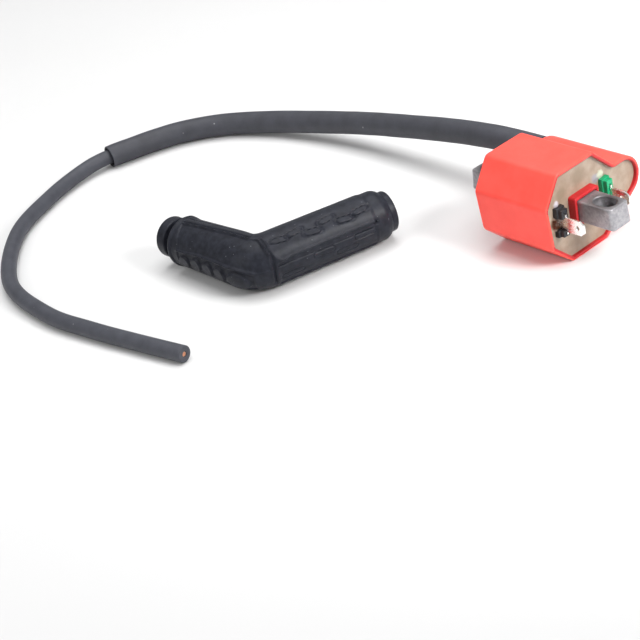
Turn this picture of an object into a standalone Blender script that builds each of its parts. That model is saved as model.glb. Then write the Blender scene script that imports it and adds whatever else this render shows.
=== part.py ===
"""Ignition coil with its high-tension lead and spark plug cap.

An open-sided moulded case is filled with resin around a primary and a secondary
winding on a straight core, whose two drilled ears stick out of the case. The lead
leaves a tower beside the core and lies on the bench, with the cap beside it.

Frame: X along the core, +X out of the open side with the terminals, +Y towards the
lead tower, Z up. The origin is in the middle of the case's length, below the core's
centre line, on the flat underside.
"""

from math import acos, ceil, cos, hypot, pi, radians, sin, tan

import bmesh
import bpy
from mathutils import Matrix, Vector

MM = 0.001
GAP = 0.3 * MM              # clearance between pieces that touch
OVERSHOOT = 2.0 * MM        # how far a cutter runs past the face it cuts
ARC_STEP = radians(18)      # largest turn between two points of a rounded corner
FULL_ROUND = 0.999          # share of a half width that a full round takes as radius

# Case: outline of the open face as corners (y, z, corner radius), seen from +X
CASE_HALF = 18.75 * MM
CASE_WALL = 1.6 * MM
CASE_BACK_WALL = 1.8 * MM
TOWER_Y = 24.9 * MM
TOWER_Z = 20.46 * MM
TOWER_RADIUS = 9.14 * MM
CASE_CORNERS = [
    (-9.5 * MM, 0.0, 3.0 * MM),
    (11.5 * MM, 0.0, 2.5 * MM),
    (34.04 * MM, 15.66 * MM, TOWER_RADIUS),
    (34.04 * MM, 29.6 * MM, TOWER_RADIUS),
    (19.3 * MM, 29.6 * MM, 2.0 * MM),
    (7.9 * MM, 40.4 * MM, 2.2 * MM),
    (-13.4 * MM, 40.4 * MM, 3.0 * MM),
    (-21.9 * MM, 28.0 * MM, 4.0 * MM),
    (-20.3 * MM, 9.9 * MM, 4.0 * MM),
]
TOWER_END_X = -23.9 * MM
TOWER_END_ROUNDING = 3.0 * MM

# Core bar and the tube of the case around it
CORE_Z = 20.75 * MM
CORE_HALF_LENGTH = 36.6 * MM
CORE_HALF_WIDTH = 5.42 * MM
CORE_HALF_HEIGHT = 4.55 * MM
CORE_CORNER = 1.6 * MM
CORE_RELIEF = 0.1 * MM      # how far the ears stand above and below the middle
CORE_FLARE = 1.0 * MM
EAR_HOLE_X = 29.8 * MM
EAR_HOLE_HALF_LENGTH = 5.0 * MM
EAR_HOLE_RADIUS = 3.7 * MM
TUBE_WALL = 1.4 * MM
TUBE_FRONT_X = 20.8 * MM
TUBE_CORNER = 1.2 * MM

# Resin filling, as the layer behind the open face
POTTING_FRONT_X = 16.9 * MM
POTTING_BACK_X = 13.4 * MM

# Bobbins and windings: half sizes beyond the core's centre line
COIL_BACK_X = -15.9 * MM
COIL_FRONT_X = 11.5 * MM
FLANGE = 0.8 * MM
SPOOL_WALL = 0.7 * MM
PRIMARY_THICKNESS = 1.0 * MM
SECONDARY_THICKNESS = 2.1 * MM

# Terminals
TAB_Y = 13.57 * MM
TAB_Z = 19.4 * MM
TAB_THICKNESS = 0.8 * MM
TAB_TIP_X = 30.3 * MM
TAB_CHAMFER = 2.0 * MM
TAB_TIP_HALF = 1.6 * MM
TAB_HALF = 3.15 * MM
TAB_SHOULDER_X = 21.5 * MM
TAB_ROOT_HALF = 4.3 * MM
TAB_TAIL_HALF = 2.4 * MM
TAB_BACK_X = 13.2 * MM
TAB_HOLE_X = 26.8 * MM
TAB_HOLE_RADIUS = 0.95 * MM
TAB_RELIEF = 0.05 * MM      # how much thinner the root is than the blade, on each side
BLOCK_FRONT_X = 20.9 * MM
BLOCK_BACK_X = 14.2 * MM
BLOCK_HALF_WIDTH = 2.4 * MM
BLOCK_LOW_Z = 13.6 * MM
BLOCK_HIGH_Z = 26.3 * MM
BLOCK_EDGE = 0.5 * MM
JAW_LOW_Z = 17.0 * MM
JAW_HIGH_Z = 21.9 * MM
WIRE_RADIUS = 0.4 * MM

# High-tension lead: centre line from inside the tower to the cut end, on the bench
LEAD_RADIUS = 3.5 * MM
LEAD_BORE = 1.4 * MM
CONDUCTOR_RADIUS = 1.0 * MM
CONDUCTOR_START = 6.0 * MM
SLEEVE_RADIUS = 5.4 * MM
SLEEVE_WALL = 0.9 * MM
SLEEVE_START = 12.6 * MM
SLEEVE_END = 264.0 * MM
SOCKET_RADIUS = 3.95 * MM
LEAD_START_X = -11.6 * MM
LEAD_Y = 25.0 * MM
LEAD_Z = 23.7 * MM
LEAD_ROUTE = [
    (LEAD_START_X, LEAD_Y, LEAD_Z),
    (-0.0240, 0.0250, 0.0237),
    (-0.0450, 0.0250, 0.0234),
    (-0.0706, 0.0249, 0.0211),
    (-0.1004, 0.0245, 0.0170),
    (-0.1320, 0.0228, 0.0126),
    (-0.1610, 0.0182, 0.0090),
    (-0.1884, 0.0104, 0.0066),
    (-0.2113, -0.0018, 0.0056),
    (-0.2267, -0.0198, 0.0055),
    (-0.2353, -0.0420, 0.0055),
    (-0.2391, -0.0560, 0.0053),
    (-0.2396, -0.0691, 0.0044),
    (-0.2329, -0.0931, 0.0036),
    (-0.2158, -0.1230, 0.0036),
    (-0.1796, -0.1504, 0.0036),
    (-0.1417, -0.1568, 0.0036),
    (-0.1130, -0.1536, 0.0036),
    (-0.0875, -0.1487, 0.0036),
    (-0.0635, -0.1436, 0.0036),
]
ROUTE_STEP = 18.0 * MM
WIRE_SIDES = 2              # bevel resolution of thin wires
TUBE_SIDES = 4              # bevel resolution of the lead and its sleeve

# Contact inside the tower
CONTACT_RADIUS = 2.6 * MM
CONTACT_THICKNESS = 1.2 * MM
SPIKE_RADIUS = 0.7 * MM
SPIKE_LENGTH = 4.0 * MM

# Spark plug cap: two arms from the elbow, lying on the bench
CAP_ELBOW = Vector((-79.7 * MM, -90.3 * MM, 11.5 * MM))
CAP_PLUG_HEADING = radians(74.3)
CAP_ANGLE = radians(109.4)
CAP_LEAD_ARM = 53.8 * MM
CAP_PLUG_ARM = 62.2 * MM
CAP_BEND_RADIUS = 10.0 * MM
CAP_BEND_STEPS = 6
CAP_ARM_START = 12.0 * MM   # where an arm's straight part begins
CAP_SIDES = 8               # bevel resolution of the cap's round pieces
STEP_RUN = 0.02 * MM        # length over which a radius steps

# Outer radius of the boot at distances from the elbow, on each arm
BOOT_LEAD_OUTSIDE = [
    (CAP_ARM_START, 11.4 * MM), (38.0 * MM, 10.5 * MM), (42.0 * MM, 10.4 * MM), (42.4 * MM, 10.9 * MM),
    (43.6 * MM, 10.9 * MM), (44.1 * MM, 10.3 * MM), (44.1 * MM, 6.9 * MM), (47.6 * MM, 6.9 * MM),
    (47.6 * MM, 8.8 * MM), (53.2 * MM, 8.8 * MM), (CAP_LEAD_ARM, 8.3 * MM),
]
BOOT_PLUG_OUTSIDE = [
    (CAP_ARM_START, 11.4 * MM), (50.2 * MM, 11.25 * MM), (51.8 * MM, 10.9 * MM), (56.2 * MM, 10.85 * MM),
    (58.2 * MM, 10.1 * MM), (59.2 * MM, 9.0 * MM), (61.6 * MM, 8.8 * MM), (CAP_PLUG_ARM, 8.3 * MM),
]
LEAD_HOLE_RADIUS = 3.8 * MM
PLUG_HOLE_RADIUS = 6.2 * MM
BODY_LEAD_RADIUS = 7.0 * MM
BODY_PLUG_RADIUS = 8.0 * MM
BODY_LEAD_END = 42.5 * MM
BODY_PLUG_END = 39.7 * MM
SCREW_SEAT = 22.0 * MM
SCREW_SHANK_RADIUS = 1.6 * MM
SCREW_COLLAR_RADIUS = 3.2 * MM
SCREW_COLLAR = 1.2 * MM
SCREW_THREAD_RADIUS = 1.3 * MM
SCREW_TIP = 36.0 * MM
CONTACT_BORE_RADIUS = 3.5 * MM
CONTACT_BORE_DEPTH = 2.2 * MM   # how far it runs past the elbow
SCREW_END = 1.5 * MM            # how far the screw's shank runs past the elbow
SPRING_START = 2.5 * MM
SPRING_END = 10.4 * MM
SPRING_TURNS = 4
SPRING_POINTS = 10
SPRING_RADIUS = 2.8 * MM
SPRING_WIRE = 0.35 * MM
RESISTOR_START = 11.1 * MM
RESISTOR_END = 22.0 * MM
RESISTOR_RADIUS = 2.9 * MM
TERMINAL_START = 22.3 * MM
TERMINAL_SEAT = 24.5 * MM
TERMINAL_END = 37.0 * MM
TERMINAL_BOSS_RADIUS = 3.4 * MM
TERMINAL_RADIUS = 5.2 * MM
TERMINAL_BORE = 3.2 * MM
TERMINAL_SLOT = 1.0 * MM
TERMINAL_FLOOR = 1.0 * MM
TERMINAL_SLOT_AT = 3.0 * MM     # where the slot starts, from the terminal's seat
TERMINAL_BORE_RADIUS = 7.0 * MM
CLIP_AT = 33.0 * MM
CLIP_WIRE = 0.4 * MM
CLIP_ARC = radians(300)
CLIP_STEPS = 20

for old in list(bpy.data.objects):
    bpy.data.objects.remove(old, do_unlink=True)

parts = bpy.data.collections.new("ignition_coil")
cutters = bpy.data.collections.new("cutters")
bpy.context.scene.collection.children.link(parts)
bpy.context.scene.collection.children.link(cutters)


def material(name, colour, roughness, metallic=0.0):
    """A Principled material of one colour."""
    made = bpy.data.materials.new(name)
    made.use_nodes = True
    shader = made.node_tree.nodes["Principled BSDF"]
    shader.inputs["Base Color"].default_value = (*colour, 1.0)
    shader.inputs["Roughness"].default_value = roughness
    shader.inputs["Metallic"].default_value = metallic
    return made


RED_PLASTIC = material("red_plastic", (0.85, 0.07, 0.05), 0.45)
RESIN = material("tan_resin", (0.40, 0.29, 0.18), 0.5)
CORE_METAL = material("core_metal", (0.42, 0.42, 0.43), 0.5, 0.9)
BOBBIN_PLASTIC = material("bobbin_plastic", (0.75, 0.72, 0.62), 0.5)
COPPER = material("enamelled_copper", (0.60, 0.22, 0.08), 0.35, 1.0)
TIN = material("tinned_brass", (0.75, 0.74, 0.72), 0.25, 1.0)
BRASS = material("brass", (0.72, 0.52, 0.20), 0.3, 1.0)
BLACK_PLASTIC = material("black_plastic", (0.01, 0.01, 0.012), 0.45)
GREEN_PLASTIC = material("green_plastic", (0.0, 0.22, 0.08), 0.45)
LEAD_RUBBER = material("lead_rubber", (0.06, 0.062, 0.07), 0.6)
SLEEVE_RUBBER = material("sleeve_rubber", (0.055, 0.055, 0.062), 0.65)
BOOT_RUBBER = material("boot_rubber", (0.035, 0.036, 0.042), 0.6)
PHENOLIC = material("phenolic", (0.03, 0.02, 0.015), 0.4)
SPRING_STEEL = material("spring_steel", (0.5, 0.5, 0.5), 0.3, 1.0)
CERAMIC = material("ceramic", (0.8, 0.78, 0.72), 0.35)


def add_object(name, mesh, surface=None, smooth_below=None):
    """Link a mesh as a part with its material, or as a cutter without one."""
    thing = bpy.data.objects.new(name, mesh)
    if surface is None:
        cutters.objects.link(thing)
        thing.hide_render = True
        thing.display_type = "WIRE"
        return thing
    parts.objects.link(thing)
    mesh.materials.clear()
    mesh.materials.append(surface)
    if smooth_below is not None:
        mesh.shade_smooth()
        mesh.set_sharp_from_angle(angle=smooth_below)
    return thing


def solid_from_curve(curve, matrix, name, surface=None, smooth_below=None, modify=None):
    """Turn a curve into a welded mesh object at the same place."""
    source = bpy.data.objects.new(name + "_curve", curve)
    bpy.context.scene.collection.objects.link(source)
    source.matrix_world = matrix
    if modify is not None:
        modify(source)
    bpy.context.view_layer.update()
    evaluated = source.evaluated_get(bpy.context.evaluated_depsgraph_get())
    mesh = bpy.data.meshes.new_from_object(evaluated)
    bpy.data.objects.remove(source, do_unlink=True)
    shape = bmesh.new()
    shape.from_mesh(mesh)
    bmesh.ops.remove_doubles(shape, verts=shape.verts, dist=0.001 * MM)
    bmesh.ops.recalc_face_normals(shape, faces=shape.faces)
    shape.to_mesh(mesh)
    shape.free()
    made = add_object(name, mesh, surface, smooth_below)
    made.matrix_world = matrix
    return made


def combine(target, tool, operation):
    """Join a tool to a part, or cut it out of the part."""
    modifier = target.modifiers.new(tool.name, "BOOLEAN")
    modifier.operation = operation
    modifier.solver = "EXACT"
    modifier.object = tool


def rounded(corners):
    """Points of a closed outline whose corners (u, v, radius) are arcs."""
    points = []
    for index, (u, v, radius) in enumerate(corners):
        here = Vector((u, v))
        before = (Vector(corners[index - 1][:2]) - here).normalized()
        after = (Vector(corners[(index + 1) % len(corners)][:2]) - here).normalized()
        opening = acos(max(-1.0, min(1.0, before.dot(after))))
        turn = pi - opening
        reach = radius * tan(turn / 2)
        centre = here + (before + after).normalized() * (radius / cos(turn / 2))
        start = here + before * reach - centre
        side = 1.0 if (-before).cross(after) > 0 else -1.0
        steps = max(1, ceil(turn / ARC_STEP))
        for step in range(steps + 1):
            arm = start.copy()
            arm.rotate(Matrix.Rotation(side * turn * step / steps, 2))
            points.append(centre + arm)
    return points


def inset(corners, wall):
    """The same outline moved inwards by a wall, with its corner radii to match."""
    moved = []
    for index, (u, v, radius) in enumerate(corners):
        here = Vector((u, v))
        along_in = (here - Vector(corners[index - 1][:2])).normalized()
        along_out = (Vector(corners[(index + 1) % len(corners)][:2]) - here).normalized()
        turn = along_in.cross(along_out)
        inward_in = Vector((-along_in.y, along_in.x))
        inward_out = Vector((-along_out.y, along_out.x))
        shift = (inward_in + inward_out) * (wall / (1.0 + inward_in.dot(inward_out)))
        new_radius = radius - wall if turn > 0 else radius + wall
        moved.append((*(here + shift), max(new_radius, 0.3 * MM)))
    return moved


def rectangle(half_u, half_v, radius, centre_v=0.0):
    """Corners of a rounded rectangle around (0, centre_v)."""
    signs = ((-1, -1), (1, -1), (1, 1), (-1, 1))
    return [(half_u * u, centre_v + half_v * v, radius) for u, v in signs]


# Outlines drawn across the core lie in the YZ plane and are extruded along X
ACROSS_CORE = Matrix(((0, 0, 1, 0), (1, 0, 0, 0), (0, 1, 0, 0), (0, 0, 0, 1)))
# Outlines drawn along the core's side lie in the XZ plane and are extruded along Y
BESIDE_CORE = Matrix(((1, 0, 0, 0), (0, 0, -1, 0), (0, 1, 0, 0), (0, 0, 0, 1)))


def prism(name, outlines, low, high, plane, surface=None, smooth_below=None):
    """Extrude an outline, less the outlines inside it, from low to high."""
    curve = bpy.data.curves.new(name, "CURVE")
    curve.dimensions = "2D"
    curve.fill_mode = "BOTH"
    curve.extrude = abs(high - low) / 2
    for outline in outlines:
        spline = curve.splines.new("POLY")
        spline.points.add(len(outline) - 1)
        for point, (u, v) in zip(spline.points, outline):
            point.co = (u, v, 0.0, 1.0)
        spline.use_cyclic_u = True
    matrix = plane @ Matrix.Translation((0, 0, (low + high) / 2))
    return solid_from_curve(curve, matrix, name, surface, smooth_below)


def tube(name, points, radii, sides, surface=None, smooth_below=None, wall=None):
    """A round bar along points, with a radius at each, or a tube of a given wall."""
    curve = bpy.data.curves.new(name, "CURVE")
    curve.dimensions = "3D"
    curve.bevel_depth = 1.0 * MM
    curve.bevel_resolution = sides
    curve.use_fill_caps = wall is None
    spline = curve.splines.new("POLY")
    spline.points.add(len(points) - 1)
    for place, point, radius in zip(spline.points, points, radii):
        place.co = (*point, 1.0)
        place.radius = radius / curve.bevel_depth

    def thicken(source):
        shell = source.modifiers.new("wall", "SOLIDIFY")
        shell.thickness = wall
        shell.offset = -1.0
        shell.use_even_offset = True

    modify = None if wall is None else thicken
    return solid_from_curve(curve, Matrix(), name, surface, smooth_below, modify)


def box(name, low, high, surface=None):
    """A box between two corners."""
    shape = bmesh.new()
    bmesh.ops.create_cube(shape, size=1.0)
    size = Vector(high) - Vector(low)
    bmesh.ops.scale(shape, vec=size, verts=shape.verts)
    mesh = bpy.data.meshes.new(name)
    shape.to_mesh(mesh)
    shape.free()
    made = add_object(name, mesh, surface)
    made.location = (Vector(high) + Vector(low)) / 2
    return made


def turned(name, profile, axis, surface=None, smooth_below=radians(35), steps=24):
    """Turn a closed profile of (radius, height), top first, and stand it on an axis."""
    shape = bmesh.new()
    corners = [shape.verts.new((radius, 0.0, height)) for radius, height in profile]
    for first, second in zip(corners, corners[1:]):
        shape.edges.new((first, second))
    mesh = bpy.data.meshes.new(name)
    shape.to_mesh(mesh)
    shape.free()
    made = add_object(name, mesh, surface)
    made.matrix_world = axis
    screw = made.modifiers.new("turn", "SCREW")
    screw.steps = steps
    screw.render_steps = steps
    screw.use_merge_vertices = True
    screw.merge_threshold = 0.00001
    screw.use_smooth_shade = smooth_below is not None
    return made


def smooth_route(points, step):
    """Points about a step apart on a smooth curve through the route's points."""
    knots = [Vector(point) for point in points]
    path = []
    for index in range(len(knots) - 1):
        start = knots[index]
        end = knots[index + 1]
        before = knots[index - 1] if index > 0 else start * 2 - end
        after = knots[index + 2] if index + 2 < len(knots) else end * 2 - start
        pieces = max(1, round((end - start).length / step))
        for piece in range(pieces):
            t = piece / pieces
            path.append(0.5 * (
                2 * start + (end - before) * t
                + (2 * before - 5 * start + 4 * end - after) * t * t
                + (3 * start - before - 3 * end + after) * t ** 3
            ))
    path.append(knots[-1])
    return path


def stretch(path, start, end):
    """The part of a path between two distances along it."""
    run = 0.0
    kept = []
    for first, second in zip(path, path[1:]):
        length = (second - first).length
        if run <= start < run + length:
            kept.append(first.lerp(second, (start - run) / length))
        if run + length >= end:
            kept.append(first.lerp(second, (end - run) / length))
            return kept
        run += length
        if run > start:
            kept.append(second)
    return kept


def make_case():
    """Open shell with the core tube, the lead tower and its socket."""
    outline = rounded(CASE_CORNERS)
    case = prism("case", [outline], -CASE_HALF, CASE_HALF, ACROSS_CORE, RED_PLASTIC, radians(30))
    cavity = prism("case_cavity", [rounded(inset(CASE_CORNERS, CASE_WALL))],
                   -CASE_HALF + CASE_BACK_WALL, CASE_HALF + OVERSHOOT, ACROSS_CORE)
    combine(case, cavity, "DIFFERENCE")

    overlap = CASE_BACK_WALL / 2
    end = Matrix.Translation((TOWER_END_X, TOWER_Y, TOWER_Z)) @ Matrix.Rotation(-pi / 2, 4, "Y")
    length = -CASE_HALF + overlap - TOWER_END_X
    profile = [(0.0, 0.0)]
    for step in range(4):
        angle = step * pi / 6
        profile.append((
            TOWER_RADIUS - GAP - TOWER_END_ROUNDING * (1 - sin(angle)),
            -TOWER_END_ROUNDING * (1 - cos(angle)),
        ))
    profile += [(TOWER_RADIUS - GAP, -length), (0.0, -length)]
    tower = turned("tower_end", profile, end)
    combine(case, tower, "UNION")

    tube_u = CORE_HALF_WIDTH + GAP + TUBE_WALL
    tube_v = CORE_HALF_HEIGHT + GAP + TUBE_WALL
    core_tube = prism("core_tube", [rounded(rectangle(tube_u, tube_v, TUBE_CORNER, CORE_Z))],
                      -CASE_HALF + overlap, TUBE_FRONT_X, ACROSS_CORE)
    combine(case, core_tube, "UNION")
    hole_u = CORE_HALF_WIDTH + GAP
    hole_v = CORE_HALF_HEIGHT + GAP
    core_hole = prism("core_hole", [rounded(rectangle(hole_u, hole_v, GAP, CORE_Z))],
                      -CASE_HALF - OVERSHOOT, TUBE_FRONT_X + OVERSHOOT, ACROSS_CORE)
    combine(case, core_hole, "DIFFERENCE")

    socket_ends = [(TOWER_END_X - OVERSHOOT, LEAD_Y, LEAD_Z),
                   (-CASE_HALF + CASE_BACK_WALL + OVERSHOOT, LEAD_Y, LEAD_Z)]
    socket = tube("lead_socket", socket_ends, [SOCKET_RADIUS] * 2, CAP_SIDES)
    combine(case, socket, "DIFFERENCE")


def make_core():
    """Straight bar with an oblong hole in each ear and feet that flare downwards."""
    bar = [(-1, -1), (1, -1), (1, 1), (-1, 1)]
    outline = rounded([(CORE_HALF_LENGTH * x, CORE_HALF_WIDTH * y, CORE_CORNER) for x, y in bar])
    outlines = [outline]
    for side in (-1, 1):
        hole = [(side * EAR_HOLE_X + EAR_HOLE_HALF_LENGTH * x, EAR_HOLE_RADIUS * y,
                 EAR_HOLE_RADIUS * FULL_ROUND) for x, y in bar]
        outlines.append(rounded(hole))
    core = prism("core", outlines, -CORE_HALF_HEIGHT, CORE_HALF_HEIGHT,
                 Matrix.Translation((0, 0, CORE_Z)), CORE_METAL, radians(30))
    foot_x = CORE_HALF_LENGTH - CORE_CORNER * 2
    for vertex in core.data.vertices:
        if abs(vertex.co.x) > foot_x and vertex.co.z < 0:
            vertex.co.x += CORE_FLARE if vertex.co.x > 0 else -CORE_FLARE
    for side, name in ((-1, "core_relief_under"), (1, "core_relief_top")):
        face = CORE_Z + side * CORE_HALF_HEIGHT
        edges = sorted((face - side * CORE_RELIEF, face + side * OVERSHOOT))
        relief = box(name, (-CASE_HALF - GAP, -CORE_HALF_WIDTH - OVERSHOOT, edges[0]),
                     (TUBE_FRONT_X + GAP, CORE_HALF_WIDTH + OVERSHOOT, edges[1]))
        combine(core, relief, "DIFFERENCE")


def make_potting():
    """Layer of resin behind the open face, cast around the tube and the terminals."""
    tube_u = CORE_HALF_WIDTH + GAP * 2 + TUBE_WALL
    tube_v = CORE_HALF_HEIGHT + GAP * 2 + TUBE_WALL
    outlines = [
        rounded(inset(CASE_CORNERS, CASE_WALL + GAP)),
        rounded(rectangle(tube_u, tube_v, TUBE_CORNER + GAP, CORE_Z)),
    ]
    potting = prism("potting", outlines, POTTING_BACK_X, POTTING_FRONT_X, ACROSS_CORE, RESIN,
                    radians(30))
    for side in (-1, 1):
        centre = side * TAB_Y
        reach = BLOCK_HALF_WIDTH + GAP
        seat = box("terminal_seat_a" if side < 0 else "terminal_seat_b",
                   (POTTING_BACK_X - OVERSHOOT, centre - reach, BLOCK_LOW_Z - GAP),
                   (POTTING_FRONT_X + OVERSHOOT, centre + reach, BLOCK_HIGH_Z + GAP))
        combine(potting, seat, "DIFFERENCE")


def make_spool(name, inner_u, inner_v, winding_thickness):
    """Rectangular tube with an end flange at both ends, for one winding."""
    wall_u = inner_u + SPOOL_WALL
    wall_v = inner_v + SPOOL_WALL
    rim_u = wall_u + GAP + winding_thickness + GAP
    rim_v = wall_v + GAP + winding_thickness + GAP
    corner = winding_thickness + SPOOL_WALL
    hole = rounded(rectangle(inner_u, inner_v, TUBE_CORNER, CORE_Z))
    spool = prism(name, [rounded(rectangle(wall_u, wall_v, TUBE_CORNER, CORE_Z)), hole],
                  COIL_BACK_X, COIL_FRONT_X, ACROSS_CORE, BOBBIN_PLASTIC)
    rim = rounded(rectangle(rim_u, rim_v, TUBE_CORNER + corner, CORE_Z))
    hole_in_rim = rounded(rectangle(inner_u, inner_v, TUBE_CORNER, CORE_Z))
    ends = ((COIL_BACK_X, COIL_BACK_X + FLANGE), (COIL_FRONT_X - FLANGE, COIL_FRONT_X))
    for index, (low, high) in enumerate(ends):
        flange = prism(name + "_flange_%d" % index, [rim, hole_in_rim], low, high, ACROSS_CORE)
        combine(spool, flange, "UNION")
    return rim_u, rim_v


def make_winding(name, inner_u, inner_v, thickness):
    """Band of wire turns between a spool's flanges, as one solid."""
    start_u = inner_u + SPOOL_WALL + GAP
    start_v = inner_v + SPOOL_WALL + GAP
    outside = rectangle(start_u + thickness, start_v + thickness, TUBE_CORNER + thickness, CORE_Z)
    inside = rectangle(start_u, start_v, TUBE_CORNER, CORE_Z)
    prism(name, [rounded(outside), rounded(inside)], COIL_BACK_X + FLANGE + GAP,
          COIL_FRONT_X - FLANGE - GAP, ACROSS_CORE, COPPER, radians(30))


def make_windings():
    """Primary on the core tube, and the secondary around it."""
    inner_u = CORE_HALF_WIDTH + GAP * 2 + TUBE_WALL
    inner_v = CORE_HALF_HEIGHT + GAP * 2 + TUBE_WALL
    rim_u, rim_v = make_spool("primary_bobbin", inner_u, inner_v, PRIMARY_THICKNESS)
    make_winding("primary_winding", inner_u, inner_v, PRIMARY_THICKNESS)
    outer_u = rim_u + GAP
    outer_v = rim_v + GAP
    make_spool("secondary_bobbin", outer_u, outer_v, SECONDARY_THICKNESS)
    make_winding("secondary_winding", outer_u, outer_v, SECONDARY_THICKNESS)
    return rim_u, outer_u + SPOOL_WALL + GAP + SECONDARY_THICKNESS


def make_terminals(primary_rim):
    """Spade tab, insulating block and winding wire on each side of the core."""
    profile = [
        (TAB_BACK_X, TAB_TAIL_HALF), (TAB_SHOULDER_X - TAB_HALF, TAB_TAIL_HALF),
        (TAB_SHOULDER_X - TAB_HALF, TAB_ROOT_HALF), (TAB_SHOULDER_X, TAB_ROOT_HALF),
        (TAB_SHOULDER_X, TAB_HALF), (TAB_TIP_X - TAB_CHAMFER, TAB_HALF),
        (TAB_TIP_X, TAB_TIP_HALF),
    ]
    outline = [Vector((x, TAB_Z - half)) for x, half in profile]
    outline += [Vector((x, TAB_Z + half)) for x, half in reversed(profile)]
    hole = rounded([(TAB_HOLE_X + TAB_HOLE_RADIUS * u, TAB_Z + TAB_HOLE_RADIUS * v,
                     TAB_HOLE_RADIUS * FULL_ROUND) for u, v in ((-1, -1), (1, -1), (1, 1), (-1, 1))])
    for side, letter, colour in ((-1, "a", BLACK_PLASTIC), (1, "b", GREEN_PLASTIC)):
        centre = side * TAB_Y
        half = TAB_THICKNESS / 2
        tab = prism("terminal_tab_" + letter, [outline, hole], -centre - half, -centre + half,
                    BESIDE_CORE, TIN)
        for way, face in ((-1, "near"), (1, "far")):
            skin = centre + way * half
            edges = sorted((skin - way * TAB_RELIEF, skin + way * OVERSHOOT))
            relief = box("tab_relief_%s_%s" % (letter, face),
                         (TAB_BACK_X - OVERSHOOT, edges[0], TAB_Z - TAB_ROOT_HALF - OVERSHOOT),
                         (BLOCK_FRONT_X + GAP, edges[1], TAB_Z + TAB_ROOT_HALF + OVERSHOOT))
            combine(tab, relief, "DIFFERENCE")

        outer = centre + side * BLOCK_HALF_WIDTH
        inner = centre - side * BLOCK_HALF_WIDTH
        block = box("terminal_block_" + letter,
                    (BLOCK_BACK_X, min(outer, inner), BLOCK_LOW_Z),
                    (BLOCK_FRONT_X, max(outer, inner), BLOCK_HIGH_Z), colour)
        bevel = block.modifiers.new("edge", "BEVEL")
        slot_half = half + GAP
        slot_high = TAB_ROOT_HALF + GAP
        slot = box("tab_slot_" + letter,
                   (BLOCK_BACK_X - OVERSHOOT, centre - slot_half, TAB_Z - slot_high),
                   (BLOCK_FRONT_X + OVERSHOOT, centre + slot_half, TAB_Z + slot_high))
        far = outer + side * OVERSHOOT
        window = box("jaw_window_" + letter,
                     (POTTING_FRONT_X - GAP, min(centre, far), JAW_LOW_Z),
                     (BLOCK_FRONT_X + OVERSHOOT, max(centre, far), JAW_HIGH_Z))
        bevel.width = BLOCK_EDGE
        bevel.segments = 2
        combine(block, slot, "DIFFERENCE")
        combine(block, window, "DIFFERENCE")

        wire_x = TAB_BACK_X - GAP - WIRE_RADIUS
        start = Vector((wire_x, centre, TAB_Z))
        end = Vector((wire_x, side * (primary_rim - WIRE_RADIUS), TAB_Z))
        tube("primary_wire_" + letter, [start, start.lerp(end, 0.5), end], [WIRE_RADIUS] * 3,
             WIRE_SIDES, COPPER, radians(60))


def make_lead(secondary_side):
    """Contact in the tower, its jumper, and the lead with its core and sleeve."""
    disc_x = LEAD_START_X + GAP + CONTACT_THICKNESS
    axis = Matrix.Translation((disc_x, LEAD_Y, LEAD_Z)) @ Matrix.Rotation(pi / 2, 4, "Y")
    contact = [
        (0.0, 0.0), (CONTACT_RADIUS, 0.0), (CONTACT_RADIUS, -CONTACT_THICKNESS),
        (SPIKE_RADIUS, -CONTACT_THICKNESS), (SPIKE_RADIUS, -CONTACT_THICKNESS - SPIKE_LENGTH),
        (0.0, -CONTACT_THICKNESS - SPIKE_LENGTH - SPIKE_RADIUS),
    ]
    turned("ht_contact", contact, axis, BRASS)

    jumper_x = disc_x - CONTACT_THICKNESS / 2
    start = Vector((jumper_x, LEAD_Y - CONTACT_RADIUS - GAP, LEAD_Z))
    end = Vector((jumper_x, secondary_side + GAP, LEAD_Z))
    tube("ht_jumper", [start, start.lerp(end, 0.5), end], [WIRE_RADIUS] * 3, WIRE_SIDES,
         COPPER, radians(60))

    path = smooth_route(LEAD_ROUTE, ROUTE_STEP)
    tube("ht_lead", path, [LEAD_RADIUS] * len(path), TUBE_SIDES, LEAD_RUBBER, radians(60),
         LEAD_RADIUS - LEAD_BORE)
    whole = sum((b - a).length for a, b in zip(path, path[1:]))
    core = stretch(path, CONDUCTOR_START, whole)
    tube("lead_conductor", core, [CONDUCTOR_RADIUS] * len(core), WIRE_SIDES, COPPER, radians(60))
    cover = stretch(path, SLEEVE_START, SLEEVE_END)
    tube("lead_sleeve", cover, [SLEEVE_RADIUS] * len(cover), TUBE_SIDES, SLEEVE_RUBBER,
         radians(60), SLEEVE_WALL)


PLUG_WAY = Vector((cos(CAP_PLUG_HEADING), sin(CAP_PLUG_HEADING), 0.0))
LEAD_WAY = Vector((cos(CAP_PLUG_HEADING + CAP_ANGLE), sin(CAP_PLUG_HEADING + CAP_ANGLE), 0.0))


def elbow_points(bend_radius, count):
    """Points of the arc that joins the lead arm to the plug arm, on the cap's axis."""
    reach = bend_radius * tan((pi - CAP_ANGLE) / 2)
    middle = (LEAD_WAY + PLUG_WAY).normalized()
    centre = middle * (bend_radius / sin(CAP_ANGLE / 2))
    start = LEAD_WAY * reach - centre
    points = []
    for step in range(count + 1):
        turn = Matrix.Rotation((pi - CAP_ANGLE) * step / count, 3, "Z")
        points.append(CAP_ELBOW + centre + turn @ start)
    return points


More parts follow.
